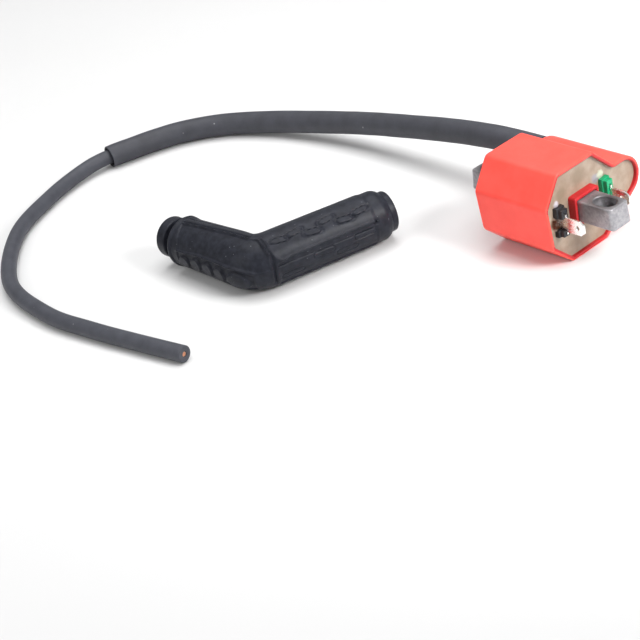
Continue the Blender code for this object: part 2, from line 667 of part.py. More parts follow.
def cap_sweep(name, lead_stations, plug_stations, surface=None, smooth_below=None):
    """A round body along both arms, whose radius steps where a distance repeats."""
    def arm(stations, way):
        made = []
        last = None
        for distance, radius in stations:
            shifted = distance + STEP_RUN if distance == last else distance
            made.append((CAP_ELBOW + way * shifted, radius))
            last = distance
        return made

    lead = arm(lead_stations, LEAD_WAY)
    plug = arm(plug_stations, PLUG_WAY)
    bend = elbow_points(CAP_BEND_RADIUS, CAP_BEND_STEPS)
    widening = (plug[0][1] - lead[0][1]) / CAP_BEND_STEPS
    spread = [lead[0][1] + widening * step for step in range(CAP_BEND_STEPS + 1)]
    stations = lead[::-1] + list(zip(bend, spread)) + plug
    points = [point for point, radius in stations]
    radii = [radius for point, radius in stations]
    return tube(name, points, radii, CAP_SIDES, surface, smooth_below)


def arm_axis(way, distance):
    """Axis that points from the elbow along an arm, at a distance from the elbow."""
    turn = way.to_track_quat("Z", "Y").to_matrix().to_4x4()
    return Matrix.Translation(CAP_ELBOW + way * distance) @ turn


def rod(name, way, low, high, radius):
    """A plain round cutter along an arm."""
    return tube(name, [CAP_ELBOW + way * low, CAP_ELBOW + way * high], [radius] * 2, CAP_SIDES)


def make_cap_shells():
    """Rubber boot outside, with an insulating body inside it."""
    boot = cap_sweep("cap_boot", BOOT_LEAD_OUTSIDE, BOOT_PLUG_OUTSIDE, BOOT_RUBBER, radians(40))
    space_lead = BODY_LEAD_RADIUS + GAP
    space_plug = BODY_PLUG_RADIUS + GAP
    cavity = cap_sweep(
        "boot_cavity",
        [(CAP_ARM_START, space_lead), (BODY_LEAD_END + GAP, space_lead),
         (BODY_LEAD_END + GAP, LEAD_HOLE_RADIUS), (CAP_LEAD_ARM + OVERSHOOT, LEAD_HOLE_RADIUS)],
        [(CAP_ARM_START, space_plug), (BODY_PLUG_END + GAP, space_plug),
         (BODY_PLUG_END + GAP, PLUG_HOLE_RADIUS), (CAP_PLUG_ARM + OVERSHOOT, PLUG_HOLE_RADIUS)])
    combine(boot, cavity, "DIFFERENCE")

    body = cap_sweep("cap_body", [(CAP_ARM_START, BODY_LEAD_RADIUS), (BODY_LEAD_END, BODY_LEAD_RADIUS)],
                     [(CAP_ARM_START, BODY_PLUG_RADIUS), (BODY_PLUG_END, BODY_PLUG_RADIUS)],
                     PHENOLIC, radians(40))
    bores = (
        rod("lead_bore", LEAD_WAY, SCREW_SEAT, BODY_LEAD_END + OVERSHOOT, LEAD_HOLE_RADIUS),
        rod("screw_bore", LEAD_WAY, SCREW_END, SCREW_SEAT + OVERSHOOT, SCREW_SHANK_RADIUS + GAP),
        rod("contact_bore", PLUG_WAY, -CONTACT_BORE_DEPTH, TERMINAL_START + OVERSHOOT,
            CONTACT_BORE_RADIUS),
        rod("terminal_bore", PLUG_WAY, TERMINAL_START, BODY_PLUG_END + OVERSHOOT,
            TERMINAL_BORE_RADIUS),
    )
    for bore in bores:
        combine(body, bore, "DIFFERENCE")


def make_cap_contacts():
    """Screw for the lead, spring, resistor and the clip for the plug's terminal."""
    collar_top = SCREW_SEAT + GAP + SCREW_COLLAR
    tip = SCREW_TIP - collar_top
    screw = [
        (0.0, tip), (SCREW_THREAD_RADIUS, tip - SCREW_THREAD_RADIUS * 3),
        (SCREW_THREAD_RADIUS, 0.0), (SCREW_COLLAR_RADIUS, 0.0),
        (SCREW_COLLAR_RADIUS, -SCREW_COLLAR), (SCREW_SHANK_RADIUS, -SCREW_COLLAR),
        (SCREW_SHANK_RADIUS, -SCREW_END - collar_top), (0.0, -SCREW_END - collar_top),
    ]
    turned("cap_lead_screw", screw, arm_axis(LEAD_WAY, collar_top), BRASS)

    length = SPRING_END - SPRING_START
    count = SPRING_TURNS * SPRING_POINTS
    start = arm_axis(PLUG_WAY, SPRING_START)
    coil = []
    for step in range(count + 1):
        angle = 2 * pi * step / SPRING_POINTS
        along = length * step / count
        coil.append(start @ Vector((SPRING_RADIUS * cos(angle), SPRING_RADIUS * sin(angle), along)))
    tube("cap_spring", coil, [SPRING_WIRE] * len(coil), WIRE_SIDES, SPRING_STEEL, radians(60))

    half = RESISTOR_END - RESISTOR_START
    resistor = [(0.0, half), (RESISTOR_RADIUS, half), (RESISTOR_RADIUS, 0.0), (0.0, 0.0)]
    turned("cap_resistor", resistor, arm_axis(PLUG_WAY, RESISTOR_START), CERAMIC)

    seat = TERMINAL_SEAT - TERMINAL_START
    top = TERMINAL_END - TERMINAL_START
    terminal = [
        (0.0, seat + TERMINAL_FLOOR), (TERMINAL_BORE, seat + TERMINAL_FLOOR),
        (TERMINAL_BORE, top),
        (TERMINAL_RADIUS, top), (TERMINAL_RADIUS, seat), (TERMINAL_BOSS_RADIUS, seat),
        (TERMINAL_BOSS_RADIUS, 0.0), (0.0, 0.0),
    ]
    cup = turned("cap_plug_terminal", terminal, arm_axis(PLUG_WAY, TERMINAL_START), BRASS)
    slot_low = TERMINAL_SEAT + TERMINAL_SLOT_AT
    reach = TERMINAL_RADIUS + OVERSHOOT
    slot = box("terminal_slot", (-reach, -TERMINAL_SLOT / 2, 0.0),
               (reach, TERMINAL_SLOT / 2, TERMINAL_END - slot_low + OVERSHOOT))
    slot.matrix_world = arm_axis(PLUG_WAY, slot_low) @ Matrix.Translation(slot.location)
    combine(cup, slot, "DIFFERENCE")

    ring = []
    place = arm_axis(PLUG_WAY, CLIP_AT)
    radius = TERMINAL_RADIUS + GAP + CLIP_WIRE
    for step in range(CLIP_STEPS + 1):
        angle = CLIP_ARC * step / CLIP_STEPS
        ring.append(place @ Vector((radius * cos(angle), radius * sin(angle), 0.0)))
    tube("cap_terminal_clip", ring, [CLIP_WIRE] * len(ring), WIRE_SIDES, SPRING_STEEL, radians(60))


make_case()
make_core()
make_potting()
primary_rim_side, secondary_outer_side = make_windings()
make_terminals(primary_rim_side)
make_lead(secondary_outer_side)
make_cap_shells()
make_cap_contacts()
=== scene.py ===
"""Looks of the ignition coil, its high-tension lead and its spark plug cap.

Frame: X along the core, +X out of the open side with the terminals, +Y towards the
lead tower, Z up, in metres. Every piece lies where its CAD solid lies.
"""

from math import acos, ceil, cos, exp, hypot, pi, radians, sin, tan

import bmesh
import bpy
from mathutils import Matrix, Vector
from mathutils.geometry import delaunay_2d_cdt
from mathutils.noise import noise


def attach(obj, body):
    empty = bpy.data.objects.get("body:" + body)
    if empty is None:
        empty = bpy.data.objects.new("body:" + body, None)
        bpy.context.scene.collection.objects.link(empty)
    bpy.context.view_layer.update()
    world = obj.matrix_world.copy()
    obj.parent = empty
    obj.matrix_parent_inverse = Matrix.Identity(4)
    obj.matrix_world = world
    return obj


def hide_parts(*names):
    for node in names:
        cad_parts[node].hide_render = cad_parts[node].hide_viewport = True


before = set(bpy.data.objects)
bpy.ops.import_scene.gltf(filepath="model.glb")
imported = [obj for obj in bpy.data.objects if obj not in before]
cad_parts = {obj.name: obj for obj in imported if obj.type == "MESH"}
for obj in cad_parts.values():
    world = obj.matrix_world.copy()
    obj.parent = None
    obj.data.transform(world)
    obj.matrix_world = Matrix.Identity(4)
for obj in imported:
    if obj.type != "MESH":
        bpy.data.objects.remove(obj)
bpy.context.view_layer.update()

MM = 0.001
ARC_STEP = radians(7.5)     # turn between two points of a rounded corner

# Case, core tube and lead tower
CASE_HALF = 18.75 * MM
CASE_WALL = 1.6 * MM
CASE_BACK_WALL = 1.8 * MM
CASE_BACK_ROUND = 0.9 * MM
CASE_LIP = 0.55 * MM
HOLE_FLARE = 0.35 * MM
SOCKET_FLARE = 0.5 * MM
TOWER_Y = 24.9 * MM
TOWER_Z = 20.46 * MM
TOWER_RADIUS = 9.14 * MM
TOWER_END_RADIUS = 9.1 * MM
TOWER_END_X = -23.9 * MM
TOWER_ROOT_X = -15.0 * MM
TOWER_END_ROUND = 2.6 * MM
TOWER_SIDES = 72
CASE_CORNERS = [
    (-9.5 * MM, 0.0, 3.0 * MM),
    (11.5 * MM, 0.0, 2.5 * MM),
    (34.04 * MM, 15.66 * MM, TOWER_RADIUS),
    (34.04 * MM, 29.6 * MM, TOWER_RADIUS),
    (19.3 * MM, 29.6 * MM, 2.0 * MM),
    (7.9 * MM, 40.4 * MM, 2.2 * MM),
    (-13.4 * MM, 40.4 * MM, 3.0 * MM),
    (-21.9 * MM, 28.0 * MM, 4.0 * MM),
    (-20.3 * MM, 9.9 * MM, 4.0 * MM),
]
CORE_Z = 20.75 * MM
COLLAR_HALF_U = 7.12 * MM
COLLAR_HALF_V = 6.25 * MM
COLLAR_FRONT_X = 20.8 * MM
COLLAR_CORNER = 1.2 * MM
COLLAR_LIP = 0.45 * MM
HOLE_HALF_U = 5.72 * MM
HOLE_HALF_V = 4.85 * MM
SOCKET_RADIUS = 3.95 * MM

# Core bar
CORE_HALF_LENGTH = 36.6 * MM
CORE_FLARE = 1.0 * MM
CORE_HALF_WIDTH = 5.42 * MM
CORE_HALF_HEIGHT = 4.55 * MM
CORE_CORNER = 1.6 * MM
CORE_EDGE = 0.55 * MM
EAR_HOLE_X = 29.8 * MM
EAR_HOLE_HALF_LENGTH = 5.0 * MM
EAR_HOLE_RADIUS = 3.7 * MM
EAR_HOLE_EDGE = 0.35 * MM

# Resin
RESIN_FRONT_X = 16.9 * MM
RESIN_BACK_X = 13.4 * MM
RESIN_STEP = 0.55 * MM
MENISCUS = 0.22 * MM
MENISCUS_REACH = 0.8 * MM
JAW_LUMP = 1.3 * MM

# Terminals
TAB_Y = 13.57 * MM
TAB_Z = 19.4 * MM
TAB_THICKNESS = 0.8 * MM
TAB_EDGE = 0.13 * MM
TAB_PROFILE = [
    (13.2 * MM, 2.4 * MM), (18.35 * MM, 2.4 * MM), (18.35 * MM, 4.3 * MM),
    (21.5 * MM, 4.3 * MM), (21.5 * MM, 3.15 * MM), (28.3 * MM, 3.15 * MM), (30.3 * MM, 1.6 * MM),
]
TAB_HOLE_X = 26.8 * MM
TAB_HOLE_RADIUS = 0.95 * MM
BLOCK_BACK_X = 14.2 * MM
BLOCK_STEP_X = 18.9 * MM
BLOCK_FRONT_X = 20.9 * MM
BLOCK_HALF_WIDTH = 2.4 * MM
NOSE_HALF_WIDTH = 1.75 * MM
BLOCK_LOW_Z = 13.6 * MM
BLOCK_HIGH_Z = 26.3 * MM
BLOCK_EDGE = 0.35 * MM
JAW_LOW_Z = 17.0 * MM
JAW_HIGH_Z = 21.9 * MM
TAB_SLOT_HALF = 0.45 * MM

# High-tension lead
LEAD_RADIUS = 3.5 * MM
LEAD_BORE = 1.12 * MM
LEAD_SIDES = 40
LEAD_EDGE = 0.35 * MM       # rounding of the cut ends
BORE_EDGE = 0.15 * MM       # chamfer of the bore at the cut ends
LEAD_EXIT = (-0.0239, 0.0250, 0.0237)
STRAND_RADIUS = 0.33 * MM
STRAND_ORBIT = 0.66 * MM
STRAND_TWIST = 14.0 * MM
STRAND_COUNT = 7            # one in the middle, the others around it
STRAND_SIDES = 8
CONDUCTOR_START = 6.0 * MM
SLEEVE_RADIUS = 5.4 * MM
SLEEVE_WALL = 0.9 * MM
SLEEVE_START = 12.6 * MM
SLEEVE_END = 264.0 * MM
SLEEVE_SIDES = 56
SLEEVE_LIP = 0.3 * MM
SLEEVE_SAG_RUN = 45 * MM    # length of the free end that hangs to one side
SLEEVE_SAG = Vector((0.55, -0.45, 0.0)) * MM
LEAD_ROUTE = [
    (-0.0116, 0.0250, 0.0237),
    (-0.0240, 0.0250, 0.0237),
    (-0.0450, 0.0250, 0.0234),
    (-0.0706, 0.0249, 0.0211),
    (-0.1004, 0.0245, 0.0170),
    (-0.1320, 0.0228, 0.0126),
    (-0.1610, 0.0182, 0.0090),
    (-0.1884, 0.0104, 0.0066),
    (-0.2113, -0.0018, 0.0056),
    (-0.2267, -0.0198, 0.0055),
    (-0.2353, -0.0420, 0.0055),
    (-0.2391, -0.0560, 0.0053),
    (-0.2396, -0.0691, 0.0044),
    (-0.2329, -0.0931, 0.0036),
    (-0.2158, -0.1230, 0.0036),
    (-0.1796, -0.1504, 0.0036),
    (-0.1417, -0.1568, 0.0036),
    (-0.1130, -0.1536, 0.0036),
    (-0.0875, -0.1487, 0.0036),
    (-0.0635, -0.1436, 0.0036),
]
ROUTE_STEP = 3.0 * MM

# Spark plug cap: two arms from the elbow
CAP_ELBOW = Vector((-0.0797, -0.0903, 0.0115))
CAP_PLUG_HEADING = radians(74.3)
CAP_ANGLE = radians(109.4)
CAP_BEND_RADIUS = 10.0 * MM
BOOT_STEP = 0.27 * MM
BOOT_SIDES = 256

# Camera at the photograph's viewing angle
CAMERA_PLACE = Vector((0.4180, -0.4261, 0.3368))
CAMERA_AZIMUTH = radians(54.05)
CAMERA_ELEVATION = radians(30.79)
CAMERA_ROLL = radians(-12.29)
CAMERA_LENS = 94.14

# Stage
FLOOR_HALF = 3.0
FLOOR_LOW_Z = -0.03
FLOOR_HIGH_Z = -0.00015
ROOM_LIGHT = 0.45
STAGE_MIDDLE = (-0.10, -0.05, 0.0)


# ---------------- mesh helpers

def finish_mesh(name, shape, sharp_angle):
    """An object from a bmesh, shaded smooth up to an angle."""
    bmesh.ops.remove_doubles(shape, verts=shape.verts, dist=0.002 * MM)
    bmesh.ops.recalc_face_normals(shape, faces=shape.faces)
    mesh = bpy.data.meshes.new(name)
    shape.to_mesh(mesh)
    shape.free()
    mesh.shade_smooth()
    mesh.set_sharp_from_angle(angle=sharp_angle)
    made = bpy.data.objects.new(name, mesh)
    bpy.context.scene.collection.objects.link(made)
    return made


def skin(name, rings, looped=False, sharp_angle=radians(38)):
    """Faces between rings of as many points each; looped joins the last to the first."""
    shape = bmesh.new()
    rows = [[shape.verts.new(point) for point in ring] for ring in rings]
    pairs = list(zip(rows, rows[1:]))
    if looped:
        pairs.append((rows[-1], rows[0]))
    for low, high in pairs:
        for index in range(len(low)):
            shape.faces.new((low[index - 1], low[index], high[index], high[index - 1]))
    if not looped:
        shape.faces.new(rows[0])
        shape.faces.new(rows[-1])
    return finish_mesh(name, shape, sharp_angle)


def combine(target, tool, operation):
    """Apply a Boolean of a tool to a target, and drop the tool."""
    modifier = target.modifiers.new("cut", "BOOLEAN")
    modifier.operation = operation
    modifier.solver = "EXACT"
    modifier.object = tool
    settle(target)
    bpy.data.objects.remove(tool, do_unlink=True)


def settle(target):
    """Apply an object's modifiers to its mesh."""
    bpy.context.view_layer.update()
    evaluated = target.evaluated_get(bpy.context.evaluated_depsgraph_get())
    mesh = bpy.data.meshes.new_from_object(evaluated)
    mesh.name = target.name
    target.modifiers.clear()
    target.data = mesh


def soften(target, width):
    """Round an object's edges, and keep its flat faces flat in shading."""
    bevel = target.modifiers.new("edge", "BEVEL")
    bevel.width = width
    bevel.segments = 3
    bevel.limit_method = "ANGLE"
    bevel.angle_limit = radians(30)
    settle(target)
    flatten(target, radians(40))


def flatten(target, sharp_angle):
    """Smooth shading whose normals follow the larger faces."""
    target.data.shade_smooth()
    target.data.set_sharp_from_angle(angle=sharp_angle)
    weighted = target.modifiers.new("normals", "WEIGHTED_NORMAL")
    weighted.keep_sharp = True
    weighted.weight = 80
    settle(target)


def rounded(corners):
    """Points of a closed outline whose corners (u, v, radius) are arcs."""
    points = []
    for index, (u, v, radius) in enumerate(corners):
        here = Vector((u, v))
        before = (Vector(corners[index - 1][:2]) - here).normalized()
        after = (Vector(corners[(index + 1) % len(corners)][:2]) - here).normalized()
        turn = pi - acos(max(-1.0, min(1.0, before.dot(after))))
        reach = radius * tan(turn / 2)
        centre = here + (before + after).normalized() * (radius / cos(turn / 2))
        start = here + before * reach - centre
        side = 1.0 if (-before).cross(after) > 0 else -1.0
        steps = max(2, round(turn / ARC_STEP))
        for step in range(steps + 1):
            arm = start.copy()
            arm.rotate(Matrix.Rotation(side * turn * step / steps, 2))
            points.append(centre + arm)
    return points


def inset(corners, wall):
    """The same outline moved inwards, with its corner radii to match."""
    moved = []
    for index, (u, v, radius) in enumerate(corners):
        here = Vector((u, v))
        along_in = (here - Vector(corners[index - 1][:2])).normalized()
        along_out = (Vector(corners[(index + 1) % len(corners)][:2]) - here).normalized()
        inward_in = Vector((-along_in.y, along_in.x))
        inward_out = Vector((-along_out.y, along_out.x))
        shift = (inward_in + inward_out) * (wall / (1.0 + inward_in.dot(inward_out)))
        new_radius = radius - wall if along_in.cross(along_out) > 0 else radius + wall
        moved.append((*(here + shift), max(new_radius, 0.15 * MM)))
    return moved


def rectangle(half_u, half_v, radius, centre_v=0.0):
    """Corners of a rounded rectangle around (0, centre_v)."""
    signs = ((-1, -1), (1, -1), (1, 1), (-1, 1))
    return [(half_u * u, centre_v + half_v * v, radius) for u, v in signs]


def across(x, outline):
    """An outline in Y and Z at a place along X."""
    return [Vector((x, u, v)) for u, v in outline]


def quarter(radius, steps=6):
    """Pairs (inset, depth) of a quarter round, from the flat face to the side wall."""
    angles = [pi / 2 * step / steps for step in range(steps + 1)]
    return [(radius * (1 - sin(angle)), radius * (1 - cos(angle))) for angle in angles]


def circle(centre, u_way, v_way, radius, sides):
    """Points of a circle around a centre, in the plane of two ways."""
    turns = [2 * pi * side / sides for side in range(sides)]
    return [centre + u_way * (radius * cos(t)) + v_way * (radius * sin(t)) for t in turns]


def block(name, low, high):
    """A box between two corners, as a tool or a base for further work."""
    low = Vector(low)
    high = Vector(high)
    ring = [(low.x, low.y), (high.x, low.y), (high.x, high.y), (low.x, high.y)]
    return skin(name, [[Vector((x, y, z)) for x, y in ring] for z in (low.z, high.z)])


def smooth_route(points, step):
    """Points about a step apart on a smooth curve through the route's points."""
    knots = [Vector(point) for point in points]
    path = []
    for index in range(len(knots) - 1):
        start = knots[index]
        end = knots[index + 1]
        before = knots[index - 1] if index > 0 else start * 2 - end
        after = knots[index + 2] if index + 2 < len(knots) else end * 2 - start
        pieces = max(1, round((end - start).length / step))
        for piece in range(pieces):
            t = piece / pieces
            path.append(0.5 * (
                2 * start + (end - before) * t
                + (2 * before - 5 * start + 4 * end - after) * t * t
                + (3 * start - before - 3 * end + after) * t ** 3
            ))
    path.append(knots[-1])
    return path


def stretch(path, start, end):
    """The part of a path between two distances along it."""
    run = 0.0
    kept = []
    for first, second in zip(path, path[1:]):
        length = (second - first).length
        if run <= start < run + length:
            kept.append(first.lerp(second, (start - run) / length))
        if run + length >= end:
            kept.append(first.lerp(second, (end - run) / length))
            return kept
        run += length
        if run > start:
            kept.append(second)
    return kept


def path_length(path):
    """Length of a path's straight runs."""
    return sum((second - first).length for first, second in zip(path, path[1:]))


def path_frames(path):
    """Tangent, side and up at each point of a path, without twist."""
    frames = []
    up = Vector((0.0, 0.0, 1.0))
    for index, point in enumerate(path):
        before = path[max(index - 1, 0)]
        after = path[min(index + 1, len(path) - 1)]
        along = (after - before).normalized()
        side = along.cross(up).normalized()
        up = side.cross(along).normalized()
        frames.append((along, side, up))
    return frames


def ring_at(path, frames, index, radius, sides, shift=0.0):
    """A circle around a path's point, moved along the path's way by a shift."""
    along, side, up = frames[index]
    return circle(path[index] + along * shift, up, side, radius, sides)


# ---------------- materials

NOISE_ROUGHNESS = 0.55


def node(tree, kind, **settings):
    """A shader node with its settings."""
    made = tree.nodes.new(kind)
    for key, value in settings.items():
        setattr(made, key, value)
    return made


def noise_value(tree, place, size, detail=3.0, stretch_by=None):
    """Fractal noise whose lumps are about a given size."""
    texture = node(tree, "ShaderNodeTexNoise")
    texture.inputs["Scale"].default_value = 1.0 / size
    texture.inputs["Detail"].default_value = detail
    texture.inputs["Roughness"].default_value = NOISE_ROUGHNESS
    source = place
    if stretch_by is not None:
        mapping = node(tree, "ShaderNodeMapping")
        mapping.inputs["Scale"].default_value = stretch_by
        tree.links.new(place, mapping.inputs["Vector"])
        source = mapping.outputs["Vector"]
    tree.links.new(source, texture.inputs["Vector"])
    return texture.outputs[0]


def ranged(tree, value, low, high, new_low, new_high):
    """A value mapped from one range to another, and held inside it."""
    mapper = node(tree, "ShaderNodeMapRange")
    mapper.inputs["From Min"].default_value = low
    mapper.inputs["From Max"].default_value = high
    mapper.inputs["To Min"].default_value = new_low
    mapper.inputs["To Max"].default_value = new_high
    tree.links.new(value, mapper.inputs["Value"])
    return mapper.outputs["Result"]


def maths(tree, operation, first, second):
    """A Math node on two values or numbers."""
    made = node(tree, "ShaderNodeMath", operation=operation)
    for socket, value in zip(made.inputs, (first, second)):
        if isinstance(value, (int, float)):
            socket.default_value = value
        else:
            tree.links.new(value, socket)
    return made.outputs[0]


def mixed(tree, factor, first, second):
    """A mix of two colours, each a colour or a socket."""
    made = node(tree, "ShaderNodeMix", data_type="RGBA")
    tree.links.new(factor, made.inputs[0])
    for socket, value in ((made.inputs[6], first), (made.inputs[7], second)):
        if isinstance(value, tuple):
            socket.default_value = (*value, 1.0)
        else:
            tree.links.new(value, socket)
    return made.outputs[2]


def near_point(tree, place, point, radius, softness):
    """1 close to a point, falling to 0 at a radius."""
    away = node(tree, "ShaderNodeVectorMath", operation="DISTANCE")
    tree.links.new(place, away.inputs[0])
    away.inputs[1].default_value = point
    return ranged(tree, away.outputs["Value"], radius - softness, radius + softness, 1.0, 0.0)


def specks(tree, place, size, share):
    """Sparse round specks: a share of the cells of a given size hold one."""
    cells = node(tree, "ShaderNodeTexVoronoi")
    cells.inputs["Scale"].default_value = 1.0 / size
    tree.links.new(place, cells.inputs["Vector"])
    close = ranged(tree, cells.outputs["Distance"], 0.08, 0.16, 1.0, 0.0)
    split = node(tree, "ShaderNodeSeparateColor")
    tree.links.new(cells.outputs["Color"], split.inputs[0])
    chosen = maths(tree, "LESS_THAN", split.outputs[0], share)
    return maths(tree, "MULTIPLY", close, chosen)


def surface(name, dark, light, rough, size, grain, bump, metallic=0.0, speck=None, patches=(),
            stretch_by=None, coat=0.0, gloss=0.5):
    """A procedural finish.

    Its colour wanders between dark and light in lumps of a size, its roughness between
    the two values of rough, and a fine grain lifts the surface by bump. speck is
    (colour, cell size, share), and patches are (point, radius, softness, colour).
    """
    made = bpy.data.materials.new(name)
    made.use_nodes = True
    tree = made.node_tree
    shader = tree.nodes["Principled BSDF"]
    shader.inputs["Metallic"].default_value = metallic
    shader.inputs["Coat Weight"].default_value = coat
    shader.inputs["Specular IOR Level"].default_value = gloss
    place = node(tree, "ShaderNodeTexCoord").outputs["Object"]

    lumps = noise_value(tree, place, size, stretch_by=stretch_by)
    colour = mixed(tree, ranged(tree, lumps, 0.3, 0.7, 0.0, 1.0), dark, light)
    for point, radius, softness, tint in patches:
        ragged = node(tree, "ShaderNodeVectorMath", operation="MULTIPLY_ADD")
        wander = node(tree, "ShaderNodeTexNoise")
        wander.inputs["Scale"].default_value = 1.0 / (1.6 * MM)
        tree.links.new(place, wander.inputs["Vector"])
        tree.links.new(wander.outputs[1], ragged.inputs[0])
        ragged.inputs[1].default_value = (1.6 * MM,) * 3
        tree.links.new(place, ragged.inputs[2])
        spot = Vector(point) + Vector((0.8 * MM,) * 3)
        colour = mixed(tree, near_point(tree, ragged.outputs[0], spot, radius, softness),
                       colour, tint)
    if speck is not None:
        tint, cell, share = speck
        colour = mixed(tree, specks(tree, place, cell, share), colour, tint)
    tree.links.new(colour, shader.inputs["Base Color"])

    fine = noise_value(tree, place, grain, detail=4.0, stretch_by=stretch_by)
    tree.links.new(ranged(tree, fine, 0.3, 0.7, rough[0], rough[1]), shader.inputs["Roughness"])
    lift = node(tree, "ShaderNodeBump")
    lift.inputs["Distance"].default_value = bump
    height = maths(tree, "ADD", fine, maths(tree, "MULTIPLY", lumps, 1.5))
    tree.links.new(height, lift.inputs["Height"])
    tree.links.new(lift.outputs["Normal"], shader.inputs["Normal"])
    return made


def place_piece(piece, material, body, slot, *nodes):
    """Give a piece its finish, the body that it rides on and the CAD nodes it stands for."""
    piece.data.materials.clear()
    piece.data.materials.append(material)
    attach(piece, body)
    if nodes:
        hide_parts(*nodes)


RED_PLASTIC = surface("red_moulding", (0.94, 0.070, 0.050), (0.98, 0.088, 0.066), (0.38, 0.48),
                      9 * MM, 0.5 * MM, 0.012 * MM, gloss=0.35)
# Darker copy of the red moulding: painted shade for the faces inside the shell, on its collar and in
# its core hole.
RED_PAINTED_SHADE = surface("red_moulding_painted_shade", (0.42, 0.006, 0.010), (0.52, 0.010, 0.014),
                     (0.36, 0.50), 3 * MM, 0.5 * MM, 0.012 * MM)
RESIN = surface(
    "tan_resin", (0.27, 0.192, 0.135), (0.38, 0.298, 0.225), (0.30, 0.46), 5.5 * MM, 0.6 * MM,
    0.03 * MM, speck=((0.75, 0.66, 0.52), 2.2 * MM, 0.10), coat=0.2,
    patches=[
        ((0.0169, 0.0000, 0.0330), 3.4 * MM, 1.3 * MM, (0.25, 0.185, 0.125)),
        ((0.0169, -0.0105, 0.0300), 2.6 * MM, 1.0 * MM, (0.26, 0.195, 0.135)),
        ((0.0169, 0.0095, 0.0275), 2.0 * MM, 0.6 * MM, (0.29, 0.27, 0.29)),
        ((0.0172, 0.0125, 0.0279), 1.9 * MM, 0.5 * MM, (0.50, 0.52, 0.40)),
        ((0.0175, -0.0139, 0.0272), 1.35 * MM, 0.35 * MM, (0.50, 0.46, 0.50)),
        ((0.0178, -0.0152, 0.0194), 2.6 * MM, 0.5 * MM, (0.085, 0.030, 0.012)),
    ],
)
CORE_METAL_AND_PAINTED_SHADE = surface(
    "cast_core_painted_shade", (0.28, 0.275, 0.29), (0.42, 0.41, 0.43), (0.36, 0.52), 1.4 * MM, 0.28 * MM,
    0.018 * MM, metallic=0.7, speck=((0.14, 0.14, 0.15), 1.2 * MM, 0.10),
    # The patches are painted shade: a darker top on each ear around its hole, and darker still down
    # the walls of each ear hole.
    patches=[((0.0298, 0.0, 0.0340), 11.0 * MM, 1.6 * MM, (0.105, 0.097, 0.10)),
             ((-0.0298, 0.0, 0.0340), 11.0 * MM, 1.6 * MM, (0.105, 0.097, 0.10)),
             ((0.0298, 0.0, 0.0205), 4.7 * MM, 0.7 * MM, (0.05, 0.05, 0.052)),
             ((-0.0298, 0.0, 0.0205), 4.7 * MM, 0.7 * MM, (0.05, 0.05, 0.052))],
)
TIN = surface("tinned_brass", (0.78, 0.76, 0.73), (0.93, 0.92, 0.90), (0.16, 0.34), 2.0 * MM,
              0.9 * MM, 0.003 * MM, metallic=1.0, stretch_by=(0.4, 1.0, 1.0))
BLACK_PLASTIC = surface("black_moulding", (0.008, 0.008, 0.010), (0.016, 0.017, 0.021),
                        (0.30, 0.45), 2.0 * MM, 0.4 * MM, 0.012 * MM)
GREEN_PLASTIC = surface("green_moulding", (0.000, 0.260, 0.105), (0.003, 0.380, 0.160),
                        (0.30, 0.45), 2.0 * MM, 0.4 * MM, 0.012 * MM)
LEAD_RUBBER = surface("lead_insulation", (0.038, 0.040, 0.052), (0.054, 0.057, 0.072),
                      (0.48, 0.62), 6 * MM, 0.35 * MM, 0.014 * MM,
                      speck=((0.20, 0.20, 0.21), 3.0 * MM, 0.05))
SLEEVE_RUBBER = surface("sleeve_rubber", (0.032, 0.033, 0.042), (0.046, 0.048, 0.060),
                        (0.52, 0.68), 8 * MM, 0.30 * MM, 0.020 * MM,
                        speck=((0.22, 0.22, 0.23), 3.4 * MM, 0.05))
BOOT_RUBBER = surface("boot_rubber", (0.009, 0.010, 0.015), (0.021, 0.023, 0.032),
                      (0.34, 0.50), 2.6 * MM, 0.45 * MM, 0.030 * MM, gloss=0.18,
                      speck=((0.11, 0.115, 0.13), 1.7 * MM, 0.14))
COPPER = surface("copper_strands", (0.62, 0.27, 0.15), (0.85, 0.45, 0.28), (0.25, 0.45),
                 1.5 * MM, 0.2 * MM, 0.004 * MM, metallic=1.0)
BRASS = surface("turned_brass", (0.62, 0.43, 0.15), (0.80, 0.60, 0.26), (0.22, 0.38), 2.5 * MM,
                0.25 * MM, 0.005 * MM, metallic=1.0)
BOBBIN_PLASTIC = surface("natural_moulding", (0.66, 0.62, 0.52), (0.78, 0.75, 0.66),
                         (0.40, 0.55), 3 * MM, 0.4 * MM, 0.010 * MM)
WINDING = surface("wound_wire", (0.40, 0.13, 0.04), (0.70, 0.30, 0.12), (0.25, 0.40), 0.5 * MM,
                  0.3 * MM, 0.060 * MM, metallic=1.0, stretch_by=(1.0, 0.05, 0.05))
PHENOLIC = surface("phenolic", (0.020, 0.013, 0.010), (0.034, 0.024, 0.018), (0.25, 0.40),
                   1.8 * MM, 0.3 * MM, 0.008 * MM)
SPRING_STEEL = surface("spring_steel", (0.42, 0.42, 0.43), (0.60, 0.60, 0.61), (0.20, 0.34),
                       1.0 * MM, 0.2 * MM, 0.003 * MM, metallic=1.0)
CERAMIC = surface("glazed_ceramic", (0.76, 0.73, 0.66), (0.86, 0.84, 0.78), (0.18, 0.28),
                  2.0 * MM, 0.4 * MM, 0.004 * MM)


# ---------------- camera and light

